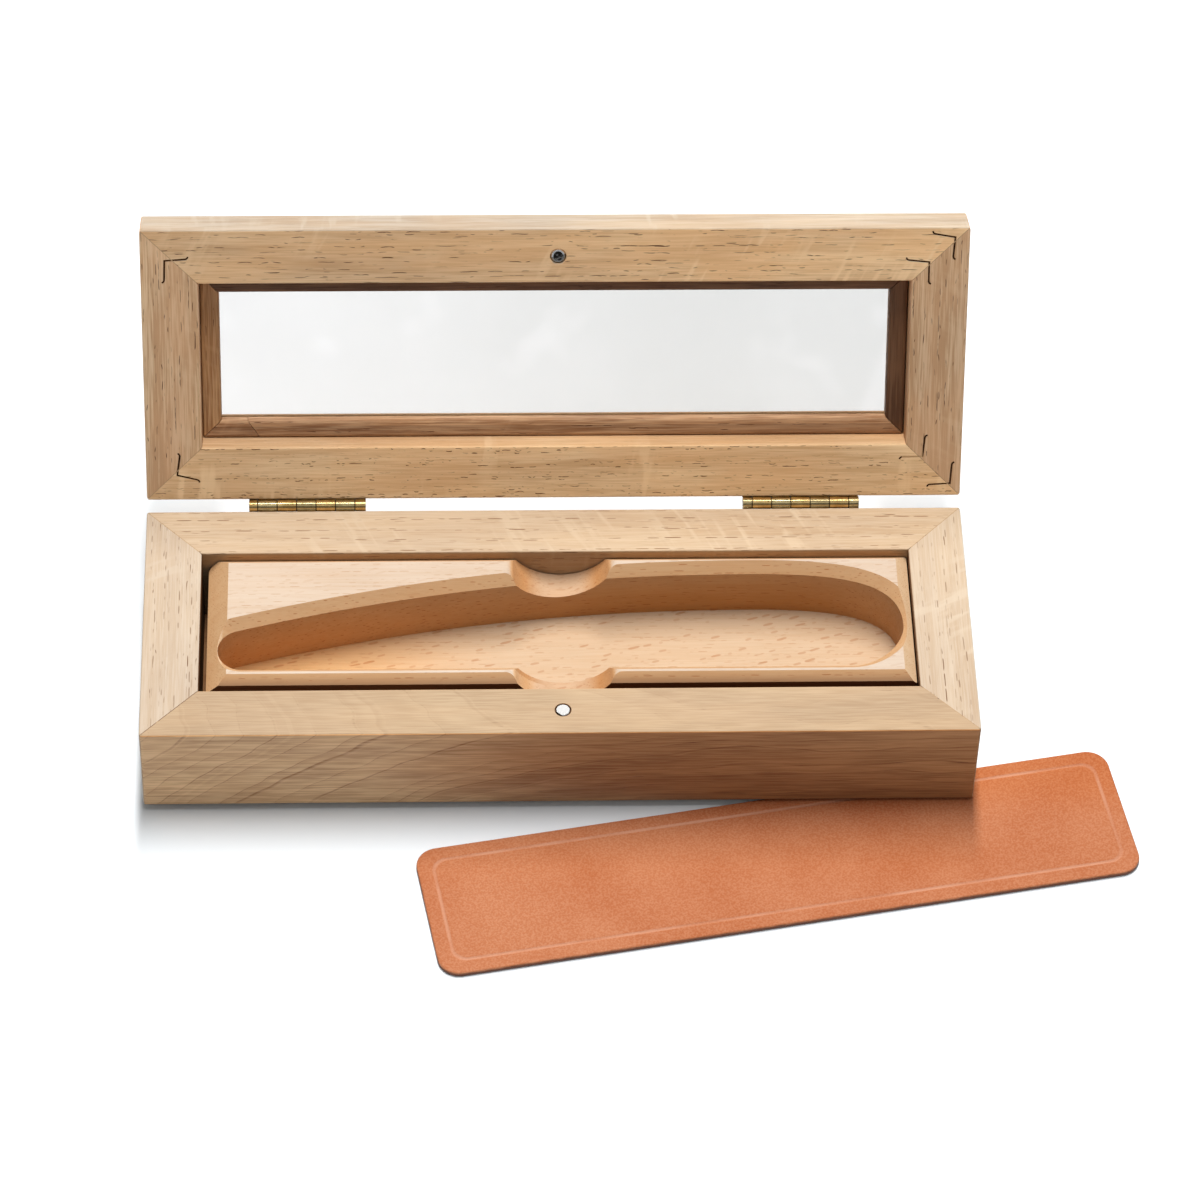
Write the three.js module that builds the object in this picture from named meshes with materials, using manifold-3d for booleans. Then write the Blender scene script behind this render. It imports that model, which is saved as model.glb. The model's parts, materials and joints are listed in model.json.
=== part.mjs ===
// Display box for a folding razor: an oak box with a hinged, glazed lid, a beech insert with a
// shaped pocket, and a loose leather panel that lies partly under the box.
// Millimetres, +Z up, +Y towards the hinges, origin at the middle of the box's underside.

import * as THREE from "three";
import { mergeVertices } from "three/addons/utils/BufferGeometryUtils.js";
import Module from "manifold-3d";

const wasm = await Module();
wasm.setup();

// Box and lid frames
const boxLength = 210;
const boxDepth = 74;
const baseHeight = 28;
const baseRailWidth = 14.4;
const lidThickness = 11.5;
const lidRailWidth = 14.5;
const arrisRound = 0.5;
const uprightRound = 1;
const baseFootRound = 1;
const lidTopRound = 1.7;

// Clearances between pieces
const lidGap = 0.3;
const mitreGap = 0.1;
const seatGap = 0.1;

// Bottom panel in its rebate, and the felt pads
const panelThickness = 4;
const panelRebate = 3;
const padRadius = 4.5;
const padThickness = 1.8;
const padRound = 0.4;
const padFromEnd = 5.8;
const padFromFront = 18;
const padFromRear = 10;

// Glass and the beads that hold it
const beadFromFace = 6.4;
const beadThickness = 2.6;
const beadWidth = 4.9;
const beadRound = 1;
const glassThickness = 1.2;
const glassEdgeGap = 0.4;
const scarfFromLeft = 11.6;
const scarfRun = 3.2;
const scarfGap = 0.1;

// Hinges, cut from a strip with one knuckle pitch
const openAngle = 115;
const pinFromRear = 1.7;
const barrelRadius = 1.55;
const pinRadius = 0.76;
const pinBoreRadius = 0.85;
const knucklePitch = 5;
const knuckleGap = 0.05;
const leafThickness = 0.8;
const leafHeight = 9;
const leafFromBarrel = 0.4;
const hingeLength = 30;
const leftHingeFromEnd = 26.3;
const rightHingeFromEnd = 26.3;
const leftFirstKnuckle = 2.2;
const rightFirstKnuckle = 2.4;

// Countersunk screws of the hinge leaves
const screwLength = 8;
const screwShankRadius = 1;
const screwHeadRadius = 1.9;
const screwHeadHeight = 1.1;
const screwTipHeight = 1.8;
const screwFromLeafEnd = 6.5;
const screwSlotWidth = 0.5;
const screwSlotDepth = 0.45;

// Magnets in the front rails
const magnetRadius = 2;
const magnetLength = 3;
const magnetBevel = 0.35;
const magnetFromFront = 7.4;
const magnetFromCentre = 0.6;
const lidMagnetRecess = 0.3;

// Bent steel nails across the lid's mitres
const nailArm = 5.2;
const nailOpening = 96;
const nailThickness = 0.36;
const nailGap = 0.05;
const nailDepth = 6;
const nailCurlRadius = 0.8;
const nailCurlTurn = 75;

// Insert in the base
const insertGapLeft = 1.7;
const insertGapRight = 0.35;
const insertGapFront = 3.4;
const insertGapRear = 0.3;
const insertBelowRim = 0.2;
const insertChamferLeft = 5.2;
const insertChamferRight = 3.1;
const insertChamferFront = 2.1;
const insertChamferRear = 2.6;
const insertCornerRound = 1.8;
const insertEdgeRound = 0.4;

// Pocket in the insert, whose rear wall climbs to a crest near the right end
const pocketDepth = 16.7;
const pocketRimChamfer = 2.55;
const pocketLeftWall = 2.8;
const pocketRightWall = 2.25;
const pocketFrontWall = 5.4;
const pocketRearWall = 5.35;
const pocketLeftRadius = 6.5;
const pocketRearStart = 106;
const pocketRearHandle = 50;
const crestFromRight = 38;
const crestHandleLeft = 42;
const crestHandleRight = 28;
const endFromFront = 13.3;
const endHandleRear = 12.5;
const endHandleFront = 6;
const endCornerSpan = 14;
const endCornerHandle = 7.5;

// Finger notches through the insert's front and rear walls
const notchRadius = 14;
const notchDepth = 8.5;
const notchShoulder = 3;
const notchFromCentre = 1.2;

// Leather panel
const leatherLength = 179.6;
const leatherDepth = 39.6;
const leatherThickness = 1.4;
const leatherCornerRound = 5.5;
const leatherTurn = 10;
const leatherFromCentreX = 54.7;
const leatherFromCentreY = -55.7;
const creaseInset = 4;
const creaseWidth = 0.7;
const creaseDepth = 0.25;

// Facets
const fineSteps = 40;
const roundSteps = 4;
const turnedSteps = 24;
const overshoot = 1;

const halfLength = boxLength / 2;
const halfDepth = boxDepth / 2;
const lidBottom = baseHeight + lidGap;
const lidTop = lidBottom + lidThickness;
const hingeY = halfDepth + pinFromRear;
const hingeZ = baseHeight + lidGap / 2;
const windowHalfLength = halfLength - lidRailWidth;
const windowHalfDepth = halfDepth - lidRailWidth;
const beadFront = lidBottom + beadFromFace;
const beadBack = beadFront + beadThickness;
const glassFront = beadBack + seatGap;
const lipFront = glassFront + glassThickness + seatGap;

const materials = {
  oak: new THREE.MeshStandardMaterial({ color: 0xd9b98a, roughness: 0.6, metalness: 0 }),
  beech: new THREE.MeshStandardMaterial({ color: 0xecd3ae, roughness: 0.6, metalness: 0 }),
  panel: new THREE.MeshStandardMaterial({ color: 0xcfae80, roughness: 0.7, metalness: 0 }),
  brass: new THREE.MeshStandardMaterial({ color: 0xc9a24a, roughness: 0.3, metalness: 1 }),
  steel: new THREE.MeshStandardMaterial({ color: 0xb9bcc0, roughness: 0.4, metalness: 1 }),
  nickel: new THREE.MeshStandardMaterial({ color: 0xc8cacc, roughness: 0.25, metalness: 1 }),
  glass: new THREE.MeshStandardMaterial({ color: 0xe8f0f0, roughness: 0.05, metalness: 0 }),
  felt: new THREE.MeshStandardMaterial({ color: 0x3f3a36, roughness: 1, metalness: 0 }),
  leather: new THREE.MeshStandardMaterial({ color: 0xc97f52, roughness: 0.6, metalness: 0 }),
};

// Solids from geometries and back

function solidOf(geometry) {
  const bare = geometry.clone();
  bare.deleteAttribute("normal");
  bare.deleteAttribute("uv");
  const merged = mergeVertices(bare);
  return new wasm.Manifold(new wasm.Mesh({
    numProp: 3,
    vertProperties: new Float32Array(merged.attributes.position.array),
    triVerts: new Uint32Array(merged.index.array),
  }));
}

function meshOf(name, solid, material) {
  const cut = solid.getMesh();
  const geometry = new THREE.BufferGeometry();
  geometry.setAttribute("position", new THREE.BufferAttribute(cut.vertProperties, 3));
  geometry.setIndex(new THREE.BufferAttribute(cut.triVerts, 1));
  geometry.computeVertexNormals();
  const mesh = new THREE.Mesh(geometry, material.clone());
  mesh.name = name;
  return mesh;
}

// An outline through corners [x, y, setback], where a setback rounds its corner
function outline(corners) {
  const shape = new THREE.Shape();
  corners.forEach(([x, y, setback = 0], index) => {
    const corner = new THREE.Vector2(x, y);
    const before = new THREE.Vector2(...corners.at(index - 1).slice(0, 2));
    const after = new THREE.Vector2(...corners[(index + 1) % corners.length].slice(0, 2));
    const start = before.sub(corner).setLength(setback).add(corner);
    const end = after.sub(corner).setLength(setback).add(corner);
    if (index === 0) shape.moveTo(start.x, start.y);
    else shape.lineTo(start.x, start.y);
    if (setback > 0) shape.quadraticCurveTo(x, y, end.x, end.y);
  });
  shape.closePath();
  return shape;
}

function rectangle(width, height, round) {
  const x = width / 2;
  const y = height / 2;
  return outline([[-x, -y, round], [x, -y, round], [x, y, round], [-x, y, round]]);
}

function prism(shape, length, steps = roundSteps) {
  return new THREE.ExtrudeGeometry(shape, { depth: length, bevelEnabled: false, curveSegments: steps });
}

// A shape in the YZ plane carried along X
function alongX(shape, from, to, steps) {
  const turn = new THREE.Matrix4().set(0, 0, 1, from, 1, 0, 0, 0, 0, 1, 0, 0, 0, 0, 0, 1);
  return solidOf(prism(shape, to - from, steps).applyMatrix4(turn));
}

// A shape in the XZ plane carried along Y
function alongY(shape, from, to, steps) {
  const turn = new THREE.Matrix4().makeRotationX(Math.PI / 2).setPosition(0, to, 0);
  return solidOf(prism(shape, to - from, steps).applyMatrix4(turn));
}

// A shape in the XY plane carried along Z
function alongZ(shape, from, to, steps) {
  return solidOf(prism(shape, to - from, steps).translate(0, 0, from));
}

function block(x, y, z) {
  const size = [x, y, z].map((range) => Math.abs(range[1] - range[0]));
  const middle = [x, y, z].map((range) => (range[0] + range[1]) / 2);
  return solidOf(new THREE.BoxGeometry(...size).translate(...middle));
}

function rodAlongX(radius, from, to, y, z) {
  const rod = new THREE.CylinderGeometry(radius, radius, to - from, turnedSteps);
  return solidOf(rod.rotateZ(-Math.PI / 2).translate((from + to) / 2, y, z));
}

// A turned solid about an upright axis, from [radius, height] points that start and end on it
function turned(points, x, y, z) {
  const profile = points.map(([radius, height]) => new THREE.Vector2(radius, height));
  const lathe = new THREE.LatheGeometry(profile, turnedSteps);
  return solidOf(lathe.rotateX(Math.PI / 2).translate(x, y, z));
}

function bevelledDisc(radius, from, to, bevel, x, y) {
  return turned([
    [0, from], [radius - bevel, from], [radius, from + bevel],
    [radius, to - bevel], [radius - bevel, to], [0, to],
  ], x, y, 0);
}

// The four sides of a frame, each made as the front one and turned into place
function frameSides(halfX, halfY) {
  return [
    { name: "front", half: halfX, outer: halfY, turn: 0 },
    { name: "right", half: halfY, outer: halfX, turn: 90 },
    { name: "back", half: halfX, outer: halfY, turn: 180 },
    { name: "left", half: halfY, outer: halfX, turn: 270 },
  ];
}

// A bar of one section, given as [distance in from its outer face, height], mitred at both ends
function mitredBar(section, width, side) {
  const moved = section.map(([across, up, setback]) => [across - side.outer, up, setback]);
  const bar = alongX(outline(moved), -side.half, side.half);
  const endBack = (mitreGap / 2) * Math.SQRT2;
  const inner = width + overshoot;
  const plan = outline([
    [-side.half + endBack - overshoot, -side.outer - overshoot],
    [side.half - endBack + overshoot, -side.outer - overshoot],
    [side.half - endBack - inner, -side.outer + inner],
    [-side.half + endBack + inner, -side.outer + inner],
  ]);
  const mitres = alongZ(plan, -overshoot, lidTop + overshoot);
  return bar.intersect(mitres).rotate([0, 0, side.turn]);
}

const leafFront = halfDepth + seatGap;
const leafBack = leafFront + leafThickness;
const leafStart = barrelRadius + leafFromBarrel;
const screwDrop = (leafStart + leafHeight) / 2;

// A screw of a hinge leaf with its head towards +Y, or the bore for one where it has a clearance
function screwSolid(x, z, clearance = 0) {
  const shank = screwShankRadius + clearance;
  const head = screwHeadRadius + clearance;
  const profile = [
    [0, -screwLength - clearance],
    [shank, screwTipHeight - screwLength],
    [shank, -screwHeadHeight],
    [head, -clearance],
  ];
  if (clearance > 0) profile.push([head, overshoot], [0, overshoot]);
  else profile.push([0, 0]);
  const points = profile.map(([radius, height]) => new THREE.Vector2(radius, height));
  return solidOf(new THREE.LatheGeometry(points, turnedSteps).translate(x, leafBack, z));
}

const hinges = [
  { name: "left", from: leftHingeFromEnd - halfLength, first: leftFirstKnuckle, baseFirst: false },
  {
    name: "right",
    from: halfLength - rightHingeFromEnd - hingeLength,
    first: rightFirstKnuckle,
    baseFirst: true,
  },
];

function knucklesOf(hinge) {
  const edges = [hinge.from];
  for (let at = hinge.from + hinge.first; at < hinge.from + hingeLength; at += knucklePitch) {
    edges.push(at);
  }
  edges.push(hinge.from + hingeLength);
  return edges.slice(0, -1).map((edge, index) => ({
    from: edge + (index === 0 ? 0 : knuckleGap),
    to: edges[index + 1] - (index === edges.length - 2 ? 0 : knuckleGap),
    onBase: (index % 2 === 0) === hinge.baseFirst,
  }));
}

function screwPlaces(hinge, upDown) {
  const z = hingeZ + upDown * screwDrop;
  return [hinge.from + screwFromLeafEnd, hinge.from + hingeLength - screwFromLeafEnd].map((x) => [x, z]);
}

// One leaf of a hinge: its plate runs down the base, or up the closed lid, from its knuckles
function leafSolid(hinge, upDown) {
  const ends = [hinge.from, hinge.from + hingeLength];
  const plateZ = [hingeZ + upDown * leafStart, hingeZ + upDown * (leafStart + leafHeight)];
  let leaf = block(ends, [leafFront, leafBack], plateZ);
  const bore = rodAlongX(pinBoreRadius, ends[0] - overshoot, ends[1] + overshoot, hingeY, hingeZ);
  for (const knuckle of knucklesOf(hinge)) {
    if (knuckle.onBase !== upDown < 0) continue;
    const neckZ = [hingeZ, hingeZ + upDown * (leafStart + overshoot)];
    const neck = block([knuckle.from, knuckle.to], [leafFront, leafBack], neckZ);
    leaf = leaf.add(neck).add(rodAlongX(barrelRadius, knuckle.from, knuckle.to, hingeY, hingeZ));
  }
  leaf = leaf.subtract(bore);
  for (const [x, z] of screwPlaces(hinge, upDown)) {
    leaf = leaf.subtract(screwSolid(x, z, seatGap));
  }
  return leaf;
}

function screwMesh(name, x, z) {
  const slot = block(
    [x - screwHeadRadius - overshoot, x + screwHeadRadius + overshoot],
    [leafBack - screwSlotDepth, leafBack + overshoot],
    [z - screwSlotWidth / 2, z + screwSlotWidth / 2],
  );
  return meshOf(name, screwSolid(x, z).subtract(slot), materials.steel);
}

function addLeafAndScrews(group, hinge, partName, upDown) {
  group.add(meshOf(`hinge_${hinge.name}_${partName}_leaf`, leafSolid(hinge, upDown), materials.brass));
  screwPlaces(hinge, upDown).forEach(([x, z], index) => {
    group.add(screwMesh(`${partName}_leaf_screw_${hinge.name}_${index + 1}`, x, z));
  });
}

function boreForScrews(rail, upDown) {
  return hinges.flatMap((hinge) => screwPlaces(hinge, upDown)).reduce(
    (solid, [x, z]) => solid.subtract(screwSolid(x, z, seatGap)),
    rail,
  );
}

// Bent nails across the lid's mitres

function nailPoints(extra) {
  const half = THREE.MathUtils.degToRad(nailOpening / 2);
  const along = new THREE.Vector2(Math.cos(half), Math.sin(half));
  const outward = new THREE.Vector2(-Math.sin(half), Math.cos(half));
  const curlCentre = along.clone().multiplyScalar(nailArm).addScaledVector(outward, nailCurlRadius);
  const arm = [];
  for (let step = 0; step <= roundSteps; step += 1) {
    const turn = THREE.MathUtils.degToRad((nailCurlTurn * step) / roundSteps);
    arm.push(curlCentre.clone()
      .addScaledVector(along, nailCurlRadius * Math.sin(turn))
      .addScaledVector(outward, -nailCurlRadius * Math.cos(turn)));
  }
  const tip = arm.at(-1);
  tip.add(tip.clone().sub(arm.at(-2)).setLength(extra));
  const mirrored = arm.map((point) => new THREE.Vector2(point.x, -point.y));
  return [...arm.reverse(), new THREE.Vector2(0, 0), ...mirrored];
}

// A flat ribbon of even thickness along a line of points
function ribbon(points, thickness) {
  const edge = (point, index, side) => {
    const before = points[Math.max(index - 1, 0)];
    const after = points[Math.min(index + 1, points.length - 1)];
    const into = point.equals(before) ? after.clone().sub(point) : point.clone().sub(before);
    const out = point.equals(after) ? into.clone() : after.clone().sub(point);
    const mean = into.normalize().add(out.normalize()).normalize();
    const normal = new THREE.Vector2(-mean.y, mean.x);
    const stretch = 1 / normal.dot(new THREE.Vector2(-out.y, out.x));
    return point.clone().addScaledVector(normal, (side * stretch * thickness) / 2);
  };
  const left = points.map((point, index) => edge(point, index, 1));
  const right = points.map((point, index) => edge(point, index, -1));
  return new THREE.Shape([...left, ...right.reverse()]);
}

// Each nail's corner, how far its point lies from the lid's end and edge, and its turn
const nails = [
  { name: "nail_front_right_outer", x: 1, y: -1, fromEnd: 3.8, fromEdge: 2.7, turn: 7 },
  { name: "nail_front_right_inner", x: 1, y: -1, fromEnd: 10.2, fromEdge: 9.4, turn: 3 },
  { name: "nail_back_right_outer", x: 1, y: 1, fromEnd: 2.7, fromEdge: 3.4, turn: 0 },
  { name: "nail_back_right_inner", x: 1, y: 1, fromEnd: 10.1, fromEdge: 11, turn: 2 },
  { name: "nail_front_left", x: -1, y: -1, fromEnd: 6.2, fromEdge: 8.2, turn: -1 },
  { name: "nail_back_left", x: -1, y: 1, fromEnd: 8, fromEdge: 6.9, turn: 11 },
];

function nailSolid(nail, grow) {
  const shape = ribbon(nailPoints(grow), nailThickness + 2 * grow);
  const low = lidBottom + (grow > 0 ? -overshoot : nailGap);
  const inward = THREE.MathUtils.radToDeg(Math.atan2(-nail.y, -nail.x)) + nail.turn;
  const x = nail.x * (halfLength - nail.fromEnd);
  const y = nail.y * (halfDepth - nail.fromEdge);
  return alongZ(shape, low, lidBottom + nailDepth + grow).rotate([0, 0, inward]).translate([x, y, 0]);
}

// Base: four mitred rails on a rebated bottom panel, with felt pads under the ends

function makeBase() {
  const base = new THREE.Group();
  const rebateHeight = panelThickness + seatGap;
  const section = [
    [0, 0, baseFootRound],
    [baseRailWidth - panelRebate, 0],
    [baseRailWidth - panelRebate, rebateHeight],
    [baseRailWidth, rebateHeight],
    [baseRailWidth, baseHeight, arrisRound],
    [0, baseHeight, arrisRound],
  ];
  const corners = alongZ(rectangle(boxLength, boxDepth, uprightRound), -overshoot, baseHeight + overshoot);
  for (const side of frameSides(halfLength, halfDepth)) {
    let rail = mitredBar(section, baseRailWidth, side).intersect(corners);
    if (side.name === "back") rail = boreForScrews(rail, -1);
    if (side.name === "front") rail = rail.subtract(magnetBore(baseHeight, -1));
    base.add(meshOf(`base_rail_${side.name}`, rail, materials.oak));
  }

  const panelX = halfLength - baseRailWidth + panelRebate - seatGap;
  const panelY = halfDepth - baseRailWidth + panelRebate - seatGap;
  const panel = block([-panelX, panelX], [-panelY, panelY], [0, panelThickness]);
  base.add(meshOf("bottom_panel", panel, materials.panel));

  const padX = halfLength - padFromEnd;
  for (const [end, x] of [["left", -padX], ["right", padX]]) {
    for (const [edge, y] of [["front", padFromFront - halfDepth], ["rear", halfDepth - padFromRear]]) {
      const pad = bevelledDisc(padRadius, -padThickness, -seatGap / 2, padRound, x, y);
      base.add(meshOf(`felt_pad_${edge}_${end}`, pad, materials.felt));
    }
  }

  const magnet = bevelledDisc(
    magnetRadius, baseHeight - magnetLength, baseHeight, magnetBevel, magnetFromCentre, magnetY());
  base.add(meshOf("base_magnet", magnet, materials.nickel));
  for (const hinge of hinges) {
    addLeafAndScrews(base, hinge, "base", -1);
    const pin = rodAlongX(pinRadius, hinge.from, hinge.from + hingeLength, hingeY, hingeZ);
    base.add(meshOf(`hinge_${hinge.name}_pin`, pin, materials.brass));
  }
  return base;
}

function magnetY() {
  return magnetFromFront - halfDepth;
}

// The bore for a magnet that enters at one face and runs into the wood
function magnetBore(face, upDown) {
  const reach = face + upDown * (magnetLength + lidMagnetRecess + seatGap);
  const mouth = face - upDown * overshoot;
  return bevelledDisc(
    magnetRadius + seatGap, Math.min(reach, mouth), Math.max(reach, mouth), magnetBevel,
    magnetFromCentre, magnetY());
}

// Lid, made closed and then opened about the hinge pins

function makeLid() {
  const closed = new THREE.Group();
  closed.position.set(0, -hingeY, -hingeZ);
  const section = [
    [0, lidBottom, arrisRound],
    [lidRailWidth, lidBottom, arrisRound],
    [lidRailWidth, lipFront],
    [lidRailWidth + beadWidth, lipFront],
    [lidRailWidth + beadWidth, lidTop, arrisRound],
    [0, lidTop, lidTopRound],
  ];
  const corners = alongZ(rectangle(boxLength, boxDepth, uprightRound), 0, lidTop + overshoot);
  for (const side of frameSides(halfLength, halfDepth)) {
    let rail = mitredBar(section, lidRailWidth + beadWidth, side).intersect(corners);
    for (const nail of nails) rail = rail.subtract(nailSolid(nail, nailGap));
    if (side.name === "back") rail = boreForScrews(rail, 1);
    if (side.name === "front") rail = rail.subtract(magnetBore(lidBottom, 1));
    closed.add(meshOf(`lid_rail_${side.name}`, rail, materials.oak));
  }
  for (const nail of nails) closed.add(meshOf(nail.name, nailSolid(nail, 0), materials.steel));

  const glassX = windowHalfLength - glassEdgeGap;
  const glassY = windowHalfDepth - glassEdgeGap;
  const glass = block([-glassX, glassX], [-glassY, glassY], [glassFront, glassFront + glassThickness]);
  closed.add(meshOf("glass_pane", glass, materials.glass));
  addBeads(closed);

  const magnet = bevelledDisc(
    magnetRadius, lidBottom + lidMagnetRecess, lidBottom + lidMagnetRecess + magnetLength,
    magnetBevel, magnetFromCentre, magnetY());
  closed.add(meshOf("lid_magnet", magnet, materials.nickel));
  for (const hinge of hinges) addLeafAndScrews(closed, hinge, "lid", 1);

  const lid = new THREE.Group();
  lid.position.set(0, hingeY, hingeZ);
  lid.rotation.x = -THREE.MathUtils.degToRad(openAngle);
  lid.add(closed);
  return lid;
}

// Beads round the window; the one beside the hinges is in two lengths, with a slanted joint
function addBeads(closed) {
  const width = beadWidth - seatGap;
  const section = [
    [0, beadFront, beadRound],
    [width, beadFront, beadRound],
    [width, beadBack],
    [0, beadBack],
  ];
  for (const side of frameSides(windowHalfLength - seatGap, windowHalfDepth - seatGap)) {
    const bead = mitredBar(section, width, side);
    if (side.name !== "back") {
      closed.add(meshOf(`bead_${side.name}`, bead, materials.oak));
      continue;
    }
    for (const [name, direction] of [["bead_back_short", -1], ["bead_back_long", 1]]) {
      closed.add(meshOf(name, bead.intersect(scarfSide(direction)), materials.oak));
    }
  }
}

// Everything to the left (-1) or right (1) of the slanted joint in the rear bead
function scarfSide(direction) {
  const outerX = -windowHalfLength + scarfFromLeft + scarfRun;
  const slope = scarfRun / beadWidth;
  const shift = (direction * scarfGap) / 2;
  const near = outerX + slope * overshoot + shift;
  const far = outerX - slope * (beadWidth + overshoot) + shift;
  const end = direction * boxLength;
  const side = outline([
    [near, windowHalfDepth + overshoot],
    [far, windowHalfDepth - beadWidth - overshoot],
    [end, windowHalfDepth - beadWidth - overshoot],
    [end, windowHalfDepth + overshoot],
  ]);
  return alongZ(side, lidBottom, lidTop);
}

// Insert with its pocket and finger notches

const insertLeft = baseRailWidth + insertGapLeft - halfLength;
const insertRight = halfLength - baseRailWidth - insertGapRight;
const insertFront = baseRailWidth + insertGapFront - halfDepth;
const insertRear = halfDepth - baseRailWidth - insertGapRear;
const insertTop = baseHeight - insertBelowRim;
const insertBottom = panelThickness + seatGap;

function pocketOutline() {
  const left = insertLeft + pocketLeftWall;
  const right = insertRight - pocketRightWall;
  const front = insertFront + pocketFrontWall;
  const rear = insertRear - pocketRearWall;
  const crest = right - crestFromRight;
  const end = front + endFromFront;
  const centre = new THREE.Vector2(left + pocketLeftRadius, front + pocketLeftRadius);
  const start = THREE.MathUtils.degToRad(pocketRearStart);
  const tangent = new THREE.Vector2(Math.sin(start), -Math.cos(start));
  const leave = centre.clone().add(new THREE.Vector2(Math.cos(start), Math.sin(start))
    .multiplyScalar(pocketLeftRadius));
  const handle = leave.addScaledVector(tangent, pocketRearHandle);
  const shape = new THREE.Shape();
  shape.moveTo(right - endCornerSpan, front);
  shape.lineTo(centre.x, front);
  shape.absarc(centre.x, centre.y, pocketLeftRadius, -Math.PI / 2, start, true);
  shape.bezierCurveTo(handle.x, handle.y, crest - crestHandleLeft, rear, crest, rear);
  shape.bezierCurveTo(crest + crestHandleRight, rear, right, end + endHandleRear, right, end);
  shape.bezierCurveTo(
    right, end - endHandleFront,
    right - endCornerSpan + endCornerHandle, front,
    right - endCornerSpan, front);
  return shape;
}

// A round-bottomed notch that runs right through, its shoulders rounded into the top face
function notchOutline() {
  const centreZ = insertTop - notchDepth + notchRadius;
  const shoulderZ = insertTop - notchShoulder;
  const reach = notchRadius + notchShoulder;
  const shoulderX = Math.sqrt(reach ** 2 - (centreZ - shoulderZ) ** 2);
  const slope = Math.atan2(centreZ - shoulderZ, shoulderX);
  const shape = new THREE.Shape();
  shape.moveTo(notchFromCentre - shoulderX, insertTop + overshoot);
  shape.lineTo(notchFromCentre - shoulderX, insertTop);
  shape.absarc(notchFromCentre - shoulderX, shoulderZ, notchShoulder, Math.PI / 2, slope, true);
  shape.absarc(notchFromCentre, centreZ, notchRadius, Math.PI + slope, -slope, false);
  shape.absarc(notchFromCentre + shoulderX, shoulderZ, notchShoulder, Math.PI - slope, Math.PI / 2, true);
  shape.lineTo(notchFromCentre + shoulderX, insertTop + overshoot);
  shape.closePath();
  return shape;
}

function makeInsert() {
  const lengthwise = outline([
    [insertLeft, insertBottom],
    [insertRight, insertBottom],
    [insertRight, insertTop - insertChamferRight],
    [insertRight - insertChamferRight, insertTop],
    [insertLeft + insertChamferLeft, insertTop],
    [insertLeft, insertTop - insertChamferLeft],
  ]);
  const crosswise = outline([
    [insertFront, insertBottom],
    [insertRear, insertBottom],
    [insertRear, insertTop - insertChamferRear],
    [insertRear - insertChamferRear, insertTop],
    [insertFront + insertChamferFront, insertTop],
    [insertFront, insertTop - insertChamferFront],
  ]);
  const plan = outline([
    [insertLeft, insertFront, insertEdgeRound],
    [insertRight, insertFront, insertEdgeRound],
    [insertRight, insertRear, insertEdgeRound],
    [insertLeft, insertRear, insertCornerRound],
  ]);
  const body = alongY(lengthwise, insertFront - overshoot, insertRear + overshoot)
    .intersect(alongX(crosswise, insertLeft - overshoot, insertRight + overshoot))
    .intersect(alongZ(plan, 0, baseHeight));

  const pocket = pocketOutline();
  const walls = alongZ(pocket, insertTop - pocketDepth, insertTop + overshoot, fineSteps);
  const flare = solidOf(new THREE.ExtrudeGeometry(pocket, {
    depth: overshoot,
    bevelThickness: pocketRimChamfer,
    bevelSize: pocketRimChamfer,
    bevelSegments: 1,
    curveSegments: fineSteps,
  }).translate(0, 0, insertTop));
  const notches = alongY(notchOutline(), insertFront - overshoot, insertRear + overshoot, fineSteps / 2);
  return meshOf("insert", body.subtract(walls).subtract(flare).subtract(notches), materials.beech);
}

// Leather panel on the surface that the pads stand on, with a crease near its edge

function makeLeather() {
  const sheet = rectangle(leatherLength, leatherDepth, leatherCornerRound);
  const panel = alongZ(sheet, 0, leatherThickness, fineSteps / 4);
  const creaseRing = (inset) => {
    const round = Math.max(leatherCornerRound - inset, 0) + arrisRound;
    const shape = rectangle(leatherLength - 2 * inset, leatherDepth - 2 * inset, round);
    return alongZ(shape, leatherThickness - creaseDepth, leatherThickness + overshoot, roundSteps);
  };
  const crease = creaseRing(creaseInset).subtract(creaseRing(creaseInset + creaseWidth));
  const leather = meshOf("leather_panel", panel.subtract(crease), materials.leather);
  leather.position.set(leatherFromCentreX, leatherFromCentreY, -padThickness);
  leather.rotation.z = THREE.MathUtils.degToRad(leatherTurn);
  return leather;
}

const displayBox = new THREE.Group();
displayBox.add(makeBase());
displayBox.add(makeLid());
displayBox.add(makeInsert());
displayBox.add(makeLeather());

export default displayBox;
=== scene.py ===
"""Looks of the razor display box: its finishes, the leather panel, the floor, the light and the camera."""

import json
import logging
import math
from dataclasses import dataclass, replace
from enum import Enum

import bpy
import numpy as np
from mathutils import Euler, Matrix, Vector


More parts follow.
